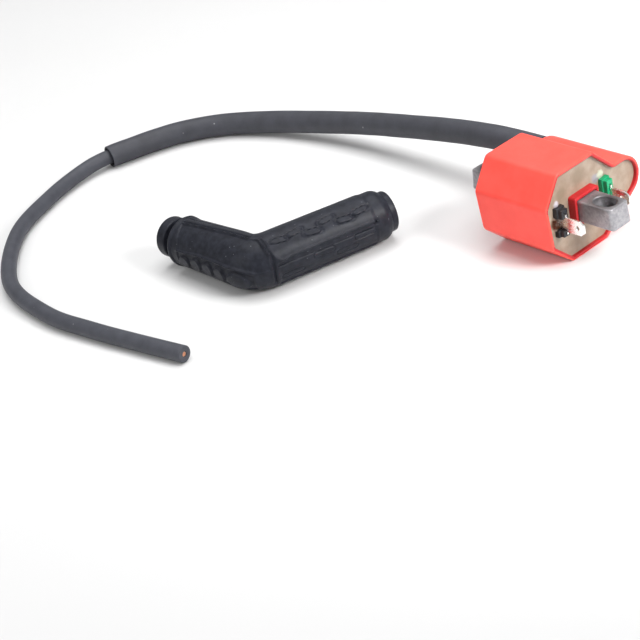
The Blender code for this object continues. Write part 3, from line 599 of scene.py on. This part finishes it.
def make_camera():
    """Camera at the photograph's place, leaning by its roll."""
    cos_az = cos(CAMERA_AZIMUTH)
    sin_az = sin(CAMERA_AZIMUTH)
    ahead = Vector((-sin_az * cos(CAMERA_ELEVATION), cos_az * cos(CAMERA_ELEVATION),
                    -sin(CAMERA_ELEVATION)))
    level = Vector((cos_az, sin_az, 0.0))
    up = level.cross(ahead)
    right = level * cos(CAMERA_ROLL) + up * sin(CAMERA_ROLL)
    top = up * cos(CAMERA_ROLL) - level * sin(CAMERA_ROLL)
    data = bpy.data.cameras.new("camera")
    data.lens = CAMERA_LENS
    camera = bpy.data.objects.new("camera", data)
    turn = Matrix((right, top, -ahead)).transposed().to_4x4()
    camera.matrix_world = Matrix.Translation(CAMERA_PLACE) @ turn
    bpy.context.scene.collection.objects.link(camera)
    bpy.context.scene.camera = camera


def add_light(name, place, target, size, power, spread=radians(180)):
    """A square area light at a place, turned to a target."""
    data = bpy.data.lights.new(name, "AREA")
    data.size = size
    data.energy = power
    data.spread = spread
    light = bpy.data.objects.new(name, data)
    turn = (Vector(target) - Vector(place)).to_track_quat("-Z", "Y").to_matrix().to_4x4()
    light.matrix_world = Matrix.Translation(place) @ turn
    bpy.context.scene.collection.objects.link(light)


def make_stage():
    """Pale floor, soft room light, and lamps on the open side, on the near side and above."""
    floor = block("floor", (-FLOOR_HALF, -FLOOR_HALF, FLOOR_LOW_Z),
                  (FLOOR_HALF, FLOOR_HALF, FLOOR_HIGH_Z))
    white = surface("floor_paint", (0.72, 0.72, 0.72), (0.74, 0.74, 0.74), (0.75, 0.85),
                    0.4, 0.02, 0.02 * MM)
    floor.data.materials.append(white)

    world = bpy.data.worlds.new("room")
    world.use_nodes = True
    background = world.node_tree.nodes["Background"]
    background.inputs["Color"].default_value = (1.0, 1.0, 1.0, 1.0)
    background.inputs["Strength"].default_value = ROOM_LIGHT
    bpy.context.scene.world = world
    add_light("key", (0.42, 0.08, 0.34), (0.02, 0.02, 0.02), 0.22, 0.35, radians(50))
    add_light("side", (-0.15, -0.80, 0.50), STAGE_MIDDLE, 0.5, 1.6)
    add_light("overhead", (-0.15, 0.15, 1.30), STAGE_MIDDLE, 1.3, 16.5)
    bpy.context.scene.view_settings.view_transform = "Standard"


# ---------------- lead

def lead_end(path, frames, index, outward):
    """Rings of the lead's cut end: rounded outer edge, then the face down to the bore."""
    rings = []
    for cut, depth in reversed(quarter(LEAD_EDGE, 4)):
        rings.append(ring_at(path, frames, index, LEAD_RADIUS - cut, LEAD_SIDES,
                             outward * (LEAD_EDGE - depth)))
    rings.append(ring_at(path, frames, index, LEAD_BORE + BORE_EDGE, LEAD_SIDES,
                         outward * LEAD_EDGE))
    rings.append(ring_at(path, frames, index, LEAD_BORE, LEAD_SIDES,
                         outward * (LEAD_EDGE - BORE_EDGE)))
    return rings


def make_lead():
    """Insulation with cut ends, twisted strands inside, and the loose sleeve over it."""
    path = smooth_route(LEAD_ROUTE, ROUTE_STEP)
    trimmed = stretch(path, LEAD_EDGE, path_length(path) - LEAD_EDGE)
    frames = path_frames(trimmed)
    last = len(trimmed) - 1
    rings = [ring_at(trimmed, frames, 0, LEAD_BORE, LEAD_SIDES, 4 * MM)]
    rings += lead_end(trimmed, frames, 0, -1.0)[::-1]
    for index in range(1, last):
        swell = 0.03 * MM * noise(trimmed[index] * 60.0)
        rings.append(ring_at(trimmed, frames, index, LEAD_RADIUS + swell, LEAD_SIDES))
    rings += lead_end(trimmed, frames, last, 1.0)
    rings.append(ring_at(trimmed, frames, last, LEAD_BORE, LEAD_SIDES, -6 * MM))
    lead = skin("lead_insulation", rings, sharp_angle=radians(60))
    place_piece(lead, LEAD_RUBBER, "coil", "lead_rubber", "ht_lead")

    inner = stretch(path, CONDUCTOR_START, path_length(path) - 0.3 * MM)
    strands = make_strands(inner)
    place_piece(strands, COPPER, "coil", "copper", "lead_conductor")

    sleeve = make_sleeve(stretch(path, SLEEVE_START, SLEEVE_END))
    place_piece(sleeve, SLEEVE_RUBBER, "coil", "sleeve_rubber", "lead_sleeve")


def make_strands(path):
    """Copper strands twisted together along a path, as one mesh."""
    frames = path_frames(path)
    shape = bmesh.new()
    for strand in range(STRAND_COUNT):
        orbit = 0.0 if strand == 0 else STRAND_ORBIT
        rows = []
        run = 0.0
        for index, point in enumerate(path):
            _, side, up = frames[index]
            if index > 0:
                run += (point - path[index - 1]).length
            angle = 2 * pi * (strand / (STRAND_COUNT - 1) + run / STRAND_TWIST)
            centre = point + up * (orbit * cos(angle)) + side * (orbit * sin(angle))
            rows.append([shape.verts.new(spot)
                         for spot in circle(centre, up, side, STRAND_RADIUS, STRAND_SIDES)])
        for low, high in zip(rows, rows[1:]):
            for index in range(STRAND_SIDES):
                shape.faces.new((low[index - 1], low[index], high[index], high[index - 1]))
        shape.faces.new(rows[0])
        shape.faces.new(rows[-1])
    return finish_mesh("conductor_strands", shape, radians(50))


def make_sleeve(path):
    """Loose rubber sleeve, open at both ends, its free end sagging to one side."""
    length = path_length(path)
    sag_from = length - SLEEVE_SAG_RUN
    run = 0.0
    centres = []
    for index, point in enumerate(path):
        if index > 0:
            run += (point - path[index - 1]).length
        share = max(0.0, (run - sag_from) / (length - sag_from))
        moved = point + SLEEVE_SAG * share * share
        centres.append(Vector((moved.x, moved.y, max(moved.z, SLEEVE_RADIUS + 0.02 * MM))))
    frames = path_frames(centres)
    outer = []
    inner = []
    for index, centre in enumerate(centres):
        _, side, up = frames[index]
        outer_ring = []
        inner_ring = []
        for step in range(SLEEVE_SIDES):
            angle = 2 * pi * step / SLEEVE_SIDES
            way = up * cos(angle) + side * sin(angle)
            dent = 0.10 * MM * noise((centre + way * SLEEVE_RADIUS) * 95.0) - 0.05 * MM
            outer_ring.append(centre + way * (SLEEVE_RADIUS + min(dent, 0.0)))
            inner_ring.append(centre + way * (SLEEVE_RADIUS - SLEEVE_WALL))
        outer.append(outer_ring)
        inner.append(inner_ring)
    rings = outer + end_lip(centres, frames, -1) + inner[::-1]
    rings += end_lip(centres, frames, 0)
    return skin("lead_sleeve_rubber", rings, looped=True, sharp_angle=radians(60))


def end_lip(centres, frames, index):
    """Rings that carry a sleeve's outer wall over its rounded end to the inner wall."""
    along, side, up = frames[index]
    outward = along if index else -along
    middle = SLEEVE_RADIUS - SLEEVE_WALL / 2
    rings = []
    for step in range(1, 8):
        angle = pi * step / 8
        radius = middle + SLEEVE_WALL / 2 * cos(angle)
        rings.append(circle(centres[index] + outward * (SLEEVE_LIP * sin(angle)), up, side,
                            radius, SLEEVE_SIDES))
    return rings if index else rings[::-1]


# ---------------- case

def make_case():
    """Moulded shell with rounded lips, its core tube and the lead tower; its inner faces carry
    painted shade in a darker red.
    """
    rings = []
    for cut, depth in quarter(CASE_BACK_ROUND):
        rings.append(across(-CASE_HALF + depth, rounded(inset(CASE_CORNERS, cut))))
    for cut, depth in reversed(quarter(CASE_LIP, 5)):
        rings.append(across(CASE_HALF - depth, rounded(inset(CASE_CORNERS, cut))))
    for cut, depth in quarter(CASE_LIP, 5):
        rings.append(across(CASE_HALF - depth, rounded(inset(CASE_CORNERS, CASE_WALL - cut))))
    floor_x = -CASE_HALF + CASE_BACK_WALL
    rings.append(across(floor_x, rounded(inset(CASE_CORNERS, CASE_WALL))))
    case = skin("case_moulding", rings)

    tower = []
    far_y = Vector((0.0, 1.0, 0.0))
    up = Vector((0.0, 0.0, 1.0))
    for cut, depth in quarter(TOWER_END_ROUND, 8):
        centre = Vector((TOWER_END_X + depth, TOWER_Y, TOWER_Z))
        tower.append(circle(centre, far_y, up, TOWER_END_RADIUS - cut, TOWER_SIDES))
    centre = Vector((TOWER_ROOT_X, TOWER_Y, TOWER_Z))
    tower.append(circle(centre, far_y, up, TOWER_END_RADIUS, TOWER_SIDES))
    combine(case, skin("tower", tower), "UNION")

    corners = rectangle(COLLAR_HALF_U, COLLAR_HALF_V, COLLAR_CORNER, CORE_Z)
    collar = [across(floor_x - CASE_BACK_WALL / 2, rounded(corners))]
    for cut, depth in reversed(quarter(COLLAR_LIP, 4)):
        collar.append(across(COLLAR_FRONT_X - depth, rounded(inset(corners, cut))))
    combine(case, skin("collar", collar), "UNION")

    hole = rectangle(HOLE_HALF_U, HOLE_HALF_V, 0.5 * MM, CORE_Z)
    tool = []
    for x, wider in ((-CASE_HALF - 1 * MM, HOLE_FLARE + 1 * MM), (-CASE_HALF + HOLE_FLARE, 0.0),
                     (COLLAR_FRONT_X - HOLE_FLARE, 0.0),
                     (COLLAR_FRONT_X + 1 * MM, HOLE_FLARE + 1 * MM)):
        tool.append(across(x, rounded(inset(hole, -wider))))
    combine(case, skin("core_hole", tool), "DIFFERENCE")

    tool = []
    for x, wider in ((TOWER_END_X - 1 * MM, SOCKET_FLARE + 1 * MM),
                     (TOWER_END_X + SOCKET_FLARE, 0.0), (floor_x + 2 * MM, 0.0)):
        centre = Vector((x, LEAD_EXIT[1], LEAD_EXIT[2]))
        tool.append(circle(centre, far_y, up, SOCKET_RADIUS + wider, 48))
    combine(case, skin("socket", tool), "DIFFERENCE")
    flatten(case, radians(42))
    place_piece(case, RED_PLASTIC, "coil", "case_plastic", "case")
    # Faces inside the shell's outline take the darker red: painted shade in the recess.
    case.data.materials.append(RED_PAINTED_SHADE)
    shaded = rounded(inset(CASE_CORNERS, CASE_WALL / 2))
    for face in case.data.polygons:
        if face.center.x > floor_x and inside(face.center.y, face.center.z, shaded):
            face.material_index = 1


# ---------------- core

def make_core():
    """Cast bar with rounded edges, flared feet and an oblong hole in each ear."""
    low = CORE_Z - CORE_HALF_HEIGHT
    high = CORE_Z + CORE_HALF_HEIGHT
    plan = rectangle(CORE_HALF_LENGTH, CORE_HALF_WIDTH, CORE_CORNER)
    levels = [(cut, low + depth) for cut, depth in quarter(CORE_EDGE, 5)]
    levels += [(cut, high - depth) for cut, depth in reversed(quarter(CORE_EDGE, 5))]
    rings = []
    foot_x = CORE_HALF_LENGTH - CORE_CORNER * 2
    for cut, z in levels:
        flare = CORE_FLARE * (high - z) / (high - low)
        ring = []
        for u, v in rounded(inset(plan, cut)):
            shift = 0.0 if abs(u) < foot_x else flare if u > 0 else -flare
            ring.append(Vector((u + shift, v, z)))
        rings.append(ring)
    core = skin("core_casting", rings)
    for side in (-1, 1):
        tool = []
        slot = rectangle(EAR_HOLE_HALF_LENGTH, EAR_HOLE_RADIUS, EAR_HOLE_RADIUS * 0.999)
        for z, wider in ((low - 1 * MM, EAR_HOLE_EDGE + 1 * MM), (low + EAR_HOLE_EDGE, 0.0),
                         (high - EAR_HOLE_EDGE, 0.0), (high + 1 * MM, EAR_HOLE_EDGE + 1 * MM)):
            tool.append([Vector((side * EAR_HOLE_X + u, v, z))
                         for u, v in rounded(inset(slot, -wider))])
        combine(core, skin("ear_hole", tool), "DIFFERENCE")
    flatten(core, radians(42))
    place_piece(core, CORE_METAL_AND_PAINTED_SHADE, "coil", "core_metal", "core")


# ---------------- resin

def distance_to_outline(y, z, outline):
    """Least distance from a point to a closed outline."""
    least = 1.0
    for first, second in zip(outline, outline[1:] + outline[:1]):
        run = second - first
        size = run.length_squared
        if size == 0.0:
            continue
        share = max(0.0, min(1.0, ((y - first.x) * run.x + (z - first.y) * run.y) / size))
        least = min(least, hypot(y - first.x - run.x * share, z - first.y - run.y * share))
    return least


def inside(y, z, outline):
    """Whether a point lies inside a closed outline."""
    odd = False
    for first, second in zip(outline, outline[1:] + outline[:1]):
        if (first.y > z) != (second.y > z):
            if y < first.x + (z - first.y) / (second.y - first.y) * (second.x - first.x):
                odd = not odd
    return odd


def resin_height(y, z, walls):
    """How far the resin's face stands in front of its level at a point."""
    height = 0.16 * MM * noise(Vector((y * 150, z * 150, 1.0)))
    for outline in walls:
        away = distance_to_outline(y, z, outline)
        height += MENISCUS * exp(-away / MENISCUS_REACH)
    drops = ((-13.9, 27.0, 1.1, 0.9), (12.6, 27.8, 1.6, 0.8), (9.2, 27.4, 1.4, 0.3))
    for drop_y, drop_z, radius, lift in drops:
        away = hypot(y - drop_y * MM, z - drop_z * MM) / (radius * MM)
        height += lift * MM * exp(-away * away)
    if -16.2 * MM < y < -13.6 * MM and JAW_LOW_Z - 0.4 * MM < z < JAW_HIGH_Z + 0.4 * MM:
        height += JAW_LUMP * (0.75 + 0.5 * noise(Vector((y * 700, z * 700, 4.0))))
    return height


def make_resin():
    """Cast resin face with a meniscus at every wall, and lumps beside the terminals."""
    outer = rounded(inset(CASE_CORNERS, CASE_WALL - 0.05 * MM))
    collar = rounded(rectangle(COLLAR_HALF_U - 0.05 * MM, COLLAR_HALF_V - 0.05 * MM,
                               COLLAR_CORNER, CORE_Z))
    points = list(outer) + list(collar)
    edges = [(i, (i + 1) % len(outer)) for i in range(len(outer))]
    base = len(outer)
    edges += [(base + i, base + (i + 1) % len(collar)) for i in range(len(collar))]
    low_y = min(point.x for point in outer)
    high_y = max(point.x for point in outer)
    high_z = max(point.y for point in outer)
    row = 0
    z = 0.0
    while z < high_z:
        y = low_y + (RESIN_STEP / 2 if row % 2 else 0.0)
        while y < high_y:
            if inside(y, z, outer) and not inside(y, z, collar):
                near = min(distance_to_outline(y, z, outer), distance_to_outline(y, z, collar))
                if near > RESIN_STEP * 0.4:
                    points.append(Vector((y, z)))
            y += RESIN_STEP
        row += 1
        z += RESIN_STEP * 0.87
    found, _, faces, _, _, _ = delaunay_2d_cdt(points, edges, [], 0, 0.001 * MM)
    shape = bmesh.new()
    verts = []
    for spot in found:
        x = RESIN_FRONT_X + resin_height(spot.x, spot.y, (outer, collar))
        verts.append(shape.verts.new((x, spot.x, spot.y)))
    for face in faces:
        centre = sum((found[index] for index in face), Vector((0.0, 0.0))) / len(face)
        if inside(centre.x, centre.y, outer) and not inside(centre.x, centre.y, collar):
            shape.faces.new([verts[index] for index in face])
    loose = [vert for vert in shape.verts if not vert.link_faces]
    bmesh.ops.delete(shape, geom=loose, context="VERTS")
    rim = [edge for edge in shape.edges if edge.is_boundary]
    walls = bmesh.ops.extrude_edge_only(shape, edges=rim)["geom"]
    back = [item for item in walls if isinstance(item, bmesh.types.BMVert)]
    for vert in back:
        vert.co.x = RESIN_BACK_X
    bmesh.ops.triangle_fill(shape, edges=[item for item in walls
                                          if isinstance(item, bmesh.types.BMEdge)
                                          and item.is_boundary], use_beauty=True)
    resin = finish_mesh("resin_filling", shape, radians(60))
    place_piece(resin, RESIN, "coil", "resin", "potting")


# ---------------- terminals

def make_tab(name, centre):
    """Spade tab with a hole, its edges lightly rounded."""
    half = TAB_THICKNESS / 2
    outline = [(x, TAB_Z - rise) for x, rise in TAB_PROFILE]
    outline += [(x, TAB_Z + rise) for x, rise in reversed(TAB_PROFILE)]
    tab = skin(name, [[Vector((x, centre + y, z)) for x, z in outline] for y in (-half, half)])
    along = Vector((1.0, 0.0, 0.0))
    up = Vector((0.0, 0.0, 1.0))
    tool = [circle(Vector((TAB_HOLE_X, centre + y, TAB_Z)), along, up, TAB_HOLE_RADIUS, 32)
            for y in (-half * 2, half * 2)]
    combine(tab, skin("tab_hole", tool), "DIFFERENCE")
    soften(tab, TAB_EDGE)
    return tab


def make_block(name, centre, side):
    """Insulating block with a stepped nose, a slot for the tab and open jaws outside."""
    body = block(name, (BLOCK_BACK_X, centre - BLOCK_HALF_WIDTH, BLOCK_LOW_Z),
                 (BLOCK_STEP_X, centre + BLOCK_HALF_WIDTH, BLOCK_HIGH_Z))
    nose = block("nose", (BLOCK_STEP_X - 2 * MM, centre - NOSE_HALF_WIDTH, BLOCK_LOW_Z + 0.5 * MM),
                 (BLOCK_FRONT_X, centre + NOSE_HALF_WIDTH, BLOCK_HIGH_Z - 0.5 * MM))
    combine(body, nose, "UNION")
    slot = block("slot", (BLOCK_BACK_X - 1 * MM, centre - TAB_SLOT_HALF, TAB_Z - 4.6 * MM),
                 (BLOCK_FRONT_X + 1 * MM, centre + TAB_SLOT_HALF, TAB_Z + 4.6 * MM))
    combine(body, slot, "DIFFERENCE")
    far = centre + side * (BLOCK_HALF_WIDTH + 1 * MM)
    window = block("window", (RESIN_FRONT_X - 1 * MM, min(centre, far), JAW_LOW_Z),
                   (BLOCK_FRONT_X + 1 * MM, max(centre, far), JAW_HIGH_Z))
    combine(body, window, "DIFFERENCE")
    soften(body, BLOCK_EDGE)
    return body


def make_terminals():
    """Tabs and blocks on both sides of the core."""
    for side, letter, plastic, slot in ((-1, "a", BLACK_PLASTIC, "block_black"),
                                        (1, "b", GREEN_PLASTIC, "block_green")):
        centre = side * TAB_Y
        tab = make_tab("spade_tab_" + letter, centre)
        place_piece(tab, TIN, "coil", "tinned_tab", "terminal_tab_" + letter)
        body = make_block("jaw_block_" + letter, centre, side)
        place_piece(body, plastic, "coil", slot, "terminal_block_" + letter)


# ---------------- boot of the cap

PLUG_WAY = Vector((cos(CAP_PLUG_HEADING), sin(CAP_PLUG_HEADING), 0.0))
LEAD_WAY = Vector((cos(CAP_PLUG_HEADING + CAP_ANGLE), sin(CAP_PLUG_HEADING + CAP_ANGLE), 0.0))
BEND_REACH = CAP_BEND_RADIUS * tan((pi - CAP_ANGLE) / 2)

# Outer radius of the boot at places along it, from the lead's mouth to the plug's, in mm
BOOT_OUTSIDE = [
    (-53.8, 7.9), (-53.55, 8.35), (-53.2, 8.65), (-52.8, 8.8), (-49.0, 8.8), (-48.6, 8.65),
    (-48.42, 8.3), (-48.38, 6.8), (-48.1, 6.4), (-47.7, 6.3), (-44.6, 6.3), (-44.25, 6.6),
    (-44.15, 9.9), (-44.0, 10.45), (-43.6, 10.82), (-43.1, 10.92), (-42.6, 10.85),
    (-42.25, 10.6), (-42.0, 10.3), (-41.7, 10.32), (-38.0, 10.5), (-12.0, 11.4), (12.0, 11.4),
    (50.2, 11.25), (51.0, 11.08), (51.8, 10.9), (55.9, 10.85), (56.7, 10.7), (57.6, 10.38),
    (58.3, 9.98), (58.8, 9.45), (59.1, 9.08), (59.5, 8.9), (61.4, 8.8), (61.9, 8.6),
    (62.2, 8.25),
]
# Inner radius from the plug's mouth back to the lead's, in mm
BOOT_INSIDE = [
    (62.2, 7.0), (62.0, 6.6), (61.6, 6.3), (61.1, 6.2), (40.3, 6.2), (40.0, 6.5), (40.0, 8.3),
    (12.0, 8.3), (-12.0, 7.3), (-42.8, 7.3), (-42.8, 4.2), (-43.1, 3.8), (-52.9, 3.8),
    (-53.3, 3.95), (-53.65, 4.3), (-53.8, 4.8),
]


def read_off(table, place):
    """A value read off a table of (place, value), in either order of places."""
    rows = table if table[0][0] < table[-1][0] else table[::-1]
    if place <= rows[0][0]:
        return rows[0][1]
    for (before, low), (after, high) in zip(rows, rows[1:]):
        if place <= after:
            share = 0.0 if after == before else (place - before) / (after - before)
            return low + (high - low) * share
    return rows[-1][1]


def step_up(value, edge, width):
    """0 well below an edge, 1 well above it, smooth over a width."""
    share = max(0.0, min(1.0, (value - edge) / width + 0.5))
    return share * share * (3 - 2 * share)


def bump_at(value, centre, width):
    """A smooth bump of height 1 around a centre."""
    share = (value - centre) / width
    return exp(-share * share)


def between(value, low, high, width):
    """1 between two edges, 0 outside them."""
    return step_up(value, low, width) * (1 - step_up(value, high, width))


# Lines on the boot. BEND_LINE and PANEL_LINE give mm along the axis at degrees from the top.
# TOP_LINE and UNDER_LINE give degrees from the top at mm along the axis. LOZENGES and SLOTS
# are the middles of the marks, in mm along the axis and degrees from the top.
BEND_LINE = [(5, -0.6), (13, 2.6), (27, 3.6), (42, 4.0), (53, 4.5), (118, 4.4)]
PANEL_LINE = [(12, 3.9), (27, 4.9), (44, 5.1), (57, 5.6), (68, 6.4), (73, 7.6)]
TOP_LINE = [(-42, 10), (-31, 6), (-16, 2.5), (-11, 0.5), (-6.6, -1.0), (-0.6, 5)]
UNDER_LINE = [(-38, 77), (-33, 76), (-25, 71.5), (-15, 71), (-4.6, 74), (-0.8, 82), (1.5, 88)]
LOZENGES = [(9.6, 30), (17.0, 26), (24.0, 41), (31.6, 26), (38.8, 42), (46.6, 36)]
SLOTS = [(11.5, 114), (26.0, 94), (36.5, 110), (45.2, 90)]
ARC = 11.2 * radians(1.0)       # mm around the boot for a degree
PAD_COUNT = 5
PAD_START = -34.2               # first pad's middle, in mm along the axis
PAD_PITCH = 7.6


def lozenge_line(along, around, half_length, half_width, line):
    """Strength of a thin line that outlines a long six-sided lozenge."""
    u = abs(along) / half_length
    v = abs(around) / half_width
    edge = (max(v, u * 0.8 + v * 0.45, u) - 1.0) * half_width
    return exp(-(edge / line) ** 2)


def lead_arm_relief(s, degrees):
    """Raised rib on top, the flat panel, and a sunk strip with plain oval pads below it."""
    off_top = (degrees - read_off(TOP_LINE, s)) * ARC
    off_under = (degrees - read_off(UNDER_LINE, s)) * ARC
    lift = 0.0
    if s < -0.6:
        on_rib = between(s, -41.2, 3.8, 0.8)
        lift += 0.45 * bump_at(off_top, 0.0, 0.30) * on_rib
        lift -= 0.35 * bump_at(off_top, -0.80, 0.32) * on_rib
        lift += 0.35 * between(off_top, -3.6, -1.2, 0.6) * on_rib
        lift -= 0.45 * bump_at(off_top, -4.2, 0.45) * on_rib
    to_bend = s - read_off(BEND_LINE, degrees) if degrees > 5 else s - 0.6
    panel_start = -41.4 + 0.052 * degrees
    panel = between(off_top, 0.4, 40.0, 0.6) * between(off_under, -40.0, -0.4, 0.5)
    panel *= (1 - step_up(to_bend, -0.3, 0.6)) * step_up(s, panel_start, 0.5)
    lift -= 0.50 * panel
    on_plate = between(s, -38.0, 0.2, 0.5)
    lift += 0.30 * bump_at(off_under, 0.35, 0.28) * between(s, -38.5, 0.5, 0.8)
    lift -= 0.40 * bump_at(off_under, 1.0, 0.28) * on_plate
    field = between(off_under, 1.2, 9.6, 0.4) * on_plate
    lift -= 0.50 * field
    for pad in range(PAD_COUNT):
        u = (s - PAD_START - PAD_PITCH * pad) / 3.2
        v = (off_under - 5.4) / 3.5
        lift += 1.05 * field * (1 - step_up(hypot(u, v), 0.93, 0.15))
    lift += 0.70 * bump_at(hypot(s + 41.0, (degrees + 26) * ARC), 0.0, 2.0)
    return lift


def bend_relief(s, degrees):
    """Raised line with a deepening groove beside it, down the bend, and a fuller heel."""
    off_bend = s - read_off(BEND_LINE, degrees)
    down = step_up(degrees, 8, 8) * (1 - step_up(degrees, 56, 6))
    groove = step_up(degrees, 20, 14) * (1 - step_up(degrees, 124, 8))
    deep = 0.45 + 0.85 * step_up(degrees, 58, 16)
    lift = 0.50 * bump_at(off_bend, 0.0, 0.32) * down
    lift -= deep * bump_at(off_bend, 0.62, 0.40) * groove
    return lift


def plug_arm_relief(s, degrees):
    """Top panel with lozenges, a dark seam below it, and a sunk side with long slots."""
    on_arm = 1 - step_up(s, 51.0, 1.2)
    lift = 0.50 * bump_at(s - read_off(PANEL_LINE, degrees), 0.0, 0.32) * between(degrees, 10, 72, 5)
    off_lower = (degrees - 70.0 - 3.0 * bump_at(s, 7.0, 4.0)) * ARC
    lift += 0.42 * bump_at(off_lower, 0.0, 0.34) * step_up(s, 7.0, 2.0) * on_arm
    beyond = step_up(s, 6.0, 1.0) * on_arm
    lift -= 0.45 * between(off_lower, 0.5, 2.2, 0.5) * beyond
    lift -= 0.80 * bump_at((degrees - 83) * ARC, 0.0, 0.36) * beyond
    lift -= 0.60 * between(degrees, 84, 138, 4) * beyond
    for index, (centre, around) in enumerate(LOZENGES):
        tilt = 0.12 if index % 2 else -0.10
        along = s - centre
        lift -= 0.55 * lozenge_line(along, (degrees - around) * ARC + tilt * along, 4.1, 1.35, 0.24)
    for centre, around in SLOTS:
        u = (s - centre) / 5.0
        v = (degrees - around) * ARC / 1.3
        edge = (max(abs(v), hypot(max(abs(u) - 0.75, 0.0) * 4.0, v)) - 1.0) * 1.3
        lift -= 0.45 * exp(-(edge / 0.26) ** 2)
    lift -= 1.3 * bump_at(hypot(s - 51.2, (degrees - 74) * ARC), 0.0, 0.8)
    return lift


def boot_relief(s, degrees):
    """How far the boot's surface stands off its round shape, in mm."""
    lift = 0.75 * bump_at(s, -2.0, 7.0) * bump_at(degrees, 112.0, 42.0)
    if s < 5.0:
        lift += lead_arm_relief(s, degrees)
    if -1.0 < s < 9.0 and degrees > 4:
        lift += bend_relief(s, degrees)
    if s > 2.0:
        lift += plug_arm_relief(s, degrees)
    return lift


def boot_axis(s):
    """Centre and way of travel at a distance along the boot's axis, in metres."""
    if s <= -BEND_REACH:
        return CAP_ELBOW - LEAD_WAY * s, -LEAD_WAY
    if s >= BEND_REACH:
        return CAP_ELBOW + PLUG_WAY * s, PLUG_WAY.copy()
    middle = (LEAD_WAY + PLUG_WAY).normalized() * (CAP_BEND_RADIUS / sin(CAP_ANGLE / 2))
    turn = Matrix.Rotation((pi - CAP_ANGLE) * (s + BEND_REACH) / (2 * BEND_REACH), 3, "Z")
    return CAP_ELBOW + middle + turn @ (LEAD_WAY * BEND_REACH - middle), turn @ -LEAD_WAY


def boot_ring(s, radius_at):
    """A ring around the boot's axis, kept on its own side of the elbow's mitre."""
    centre, along = boot_axis(s)
    up = Vector((0.0, 0.0, 1.0))
    side = along.cross(up)
    mitre = (PLUG_WAY - LEAD_WAY).normalized()
    ring = []
    for step in range(BOOT_SIDES):
        degrees = 360.0 * step / BOOT_SIDES
        degrees = degrees - 360.0 if degrees > 250 else degrees
        angle = radians(degrees)
        point = centre + (up * cos(angle) + side * sin(angle)) * radius_at(degrees)
        beyond = (point - CAP_ELBOW).dot(mitre)
        if (s < 0 < beyond) or (s > 0 > beyond):
            point -= along * (beyond / along.dot(mitre))
        ring.append(point)
    return ring


def boot_stations(table):
    """Places along a table of radii, with a ring every BOOT_STEP between its rows."""
    places = []
    for (start, low), (end, high) in zip(table, table[1:]):
        pieces = max(1, ceil(abs(end - start) * MM / BOOT_STEP))
        places += [(start + (end - start) * piece / pieces, low + (high - low) * piece / pieces)
                   for piece in range(pieces)]
    return places + [table[-1]]


def make_boot():
    """Rubber boot: round arms with panels, raised lines and grooves, open at both mouths."""
    rings = []
    for s, radius in boot_stations(BOOT_OUTSIDE):
        rings.append(boot_ring(s * MM, lambda degrees: (radius + boot_relief(s, degrees)) * MM))
    for s, radius in BOOT_INSIDE:
        rings.append(boot_ring(s * MM, lambda degrees: radius * MM))
    boot = skin("boot_rubber", rings, looped=True, sharp_angle=radians(75))
    place_piece(boot, BOOT_RUBBER, "spark_plug_cap", "boot_rubber", "cap_boot")


# ---------------- pieces kept from CAD

def finish_kept_nodes():
    """Procedural finishes for the CAD pieces that show as they are."""
    finishes = {
        "primary_bobbin": BOBBIN_PLASTIC, "secondary_bobbin": BOBBIN_PLASTIC,
        "primary_winding": WINDING, "secondary_winding": WINDING,
        "primary_wire_a": COPPER, "primary_wire_b": COPPER, "ht_jumper": COPPER,
        "ht_contact": BRASS, "cap_body": PHENOLIC, "cap_lead_screw": BRASS,
        "cap_spring": SPRING_STEEL, "cap_resistor": CERAMIC, "cap_plug_terminal": BRASS,
        "cap_terminal_clip": SPRING_STEEL,
    }
    for name, finish in finishes.items():
        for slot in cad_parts[name].material_slots:
            slot.material = finish


make_camera()
make_stage()
make_lead()
make_case()
make_core()
make_resin()
make_terminals()
make_boot()
finish_kept_nodes()
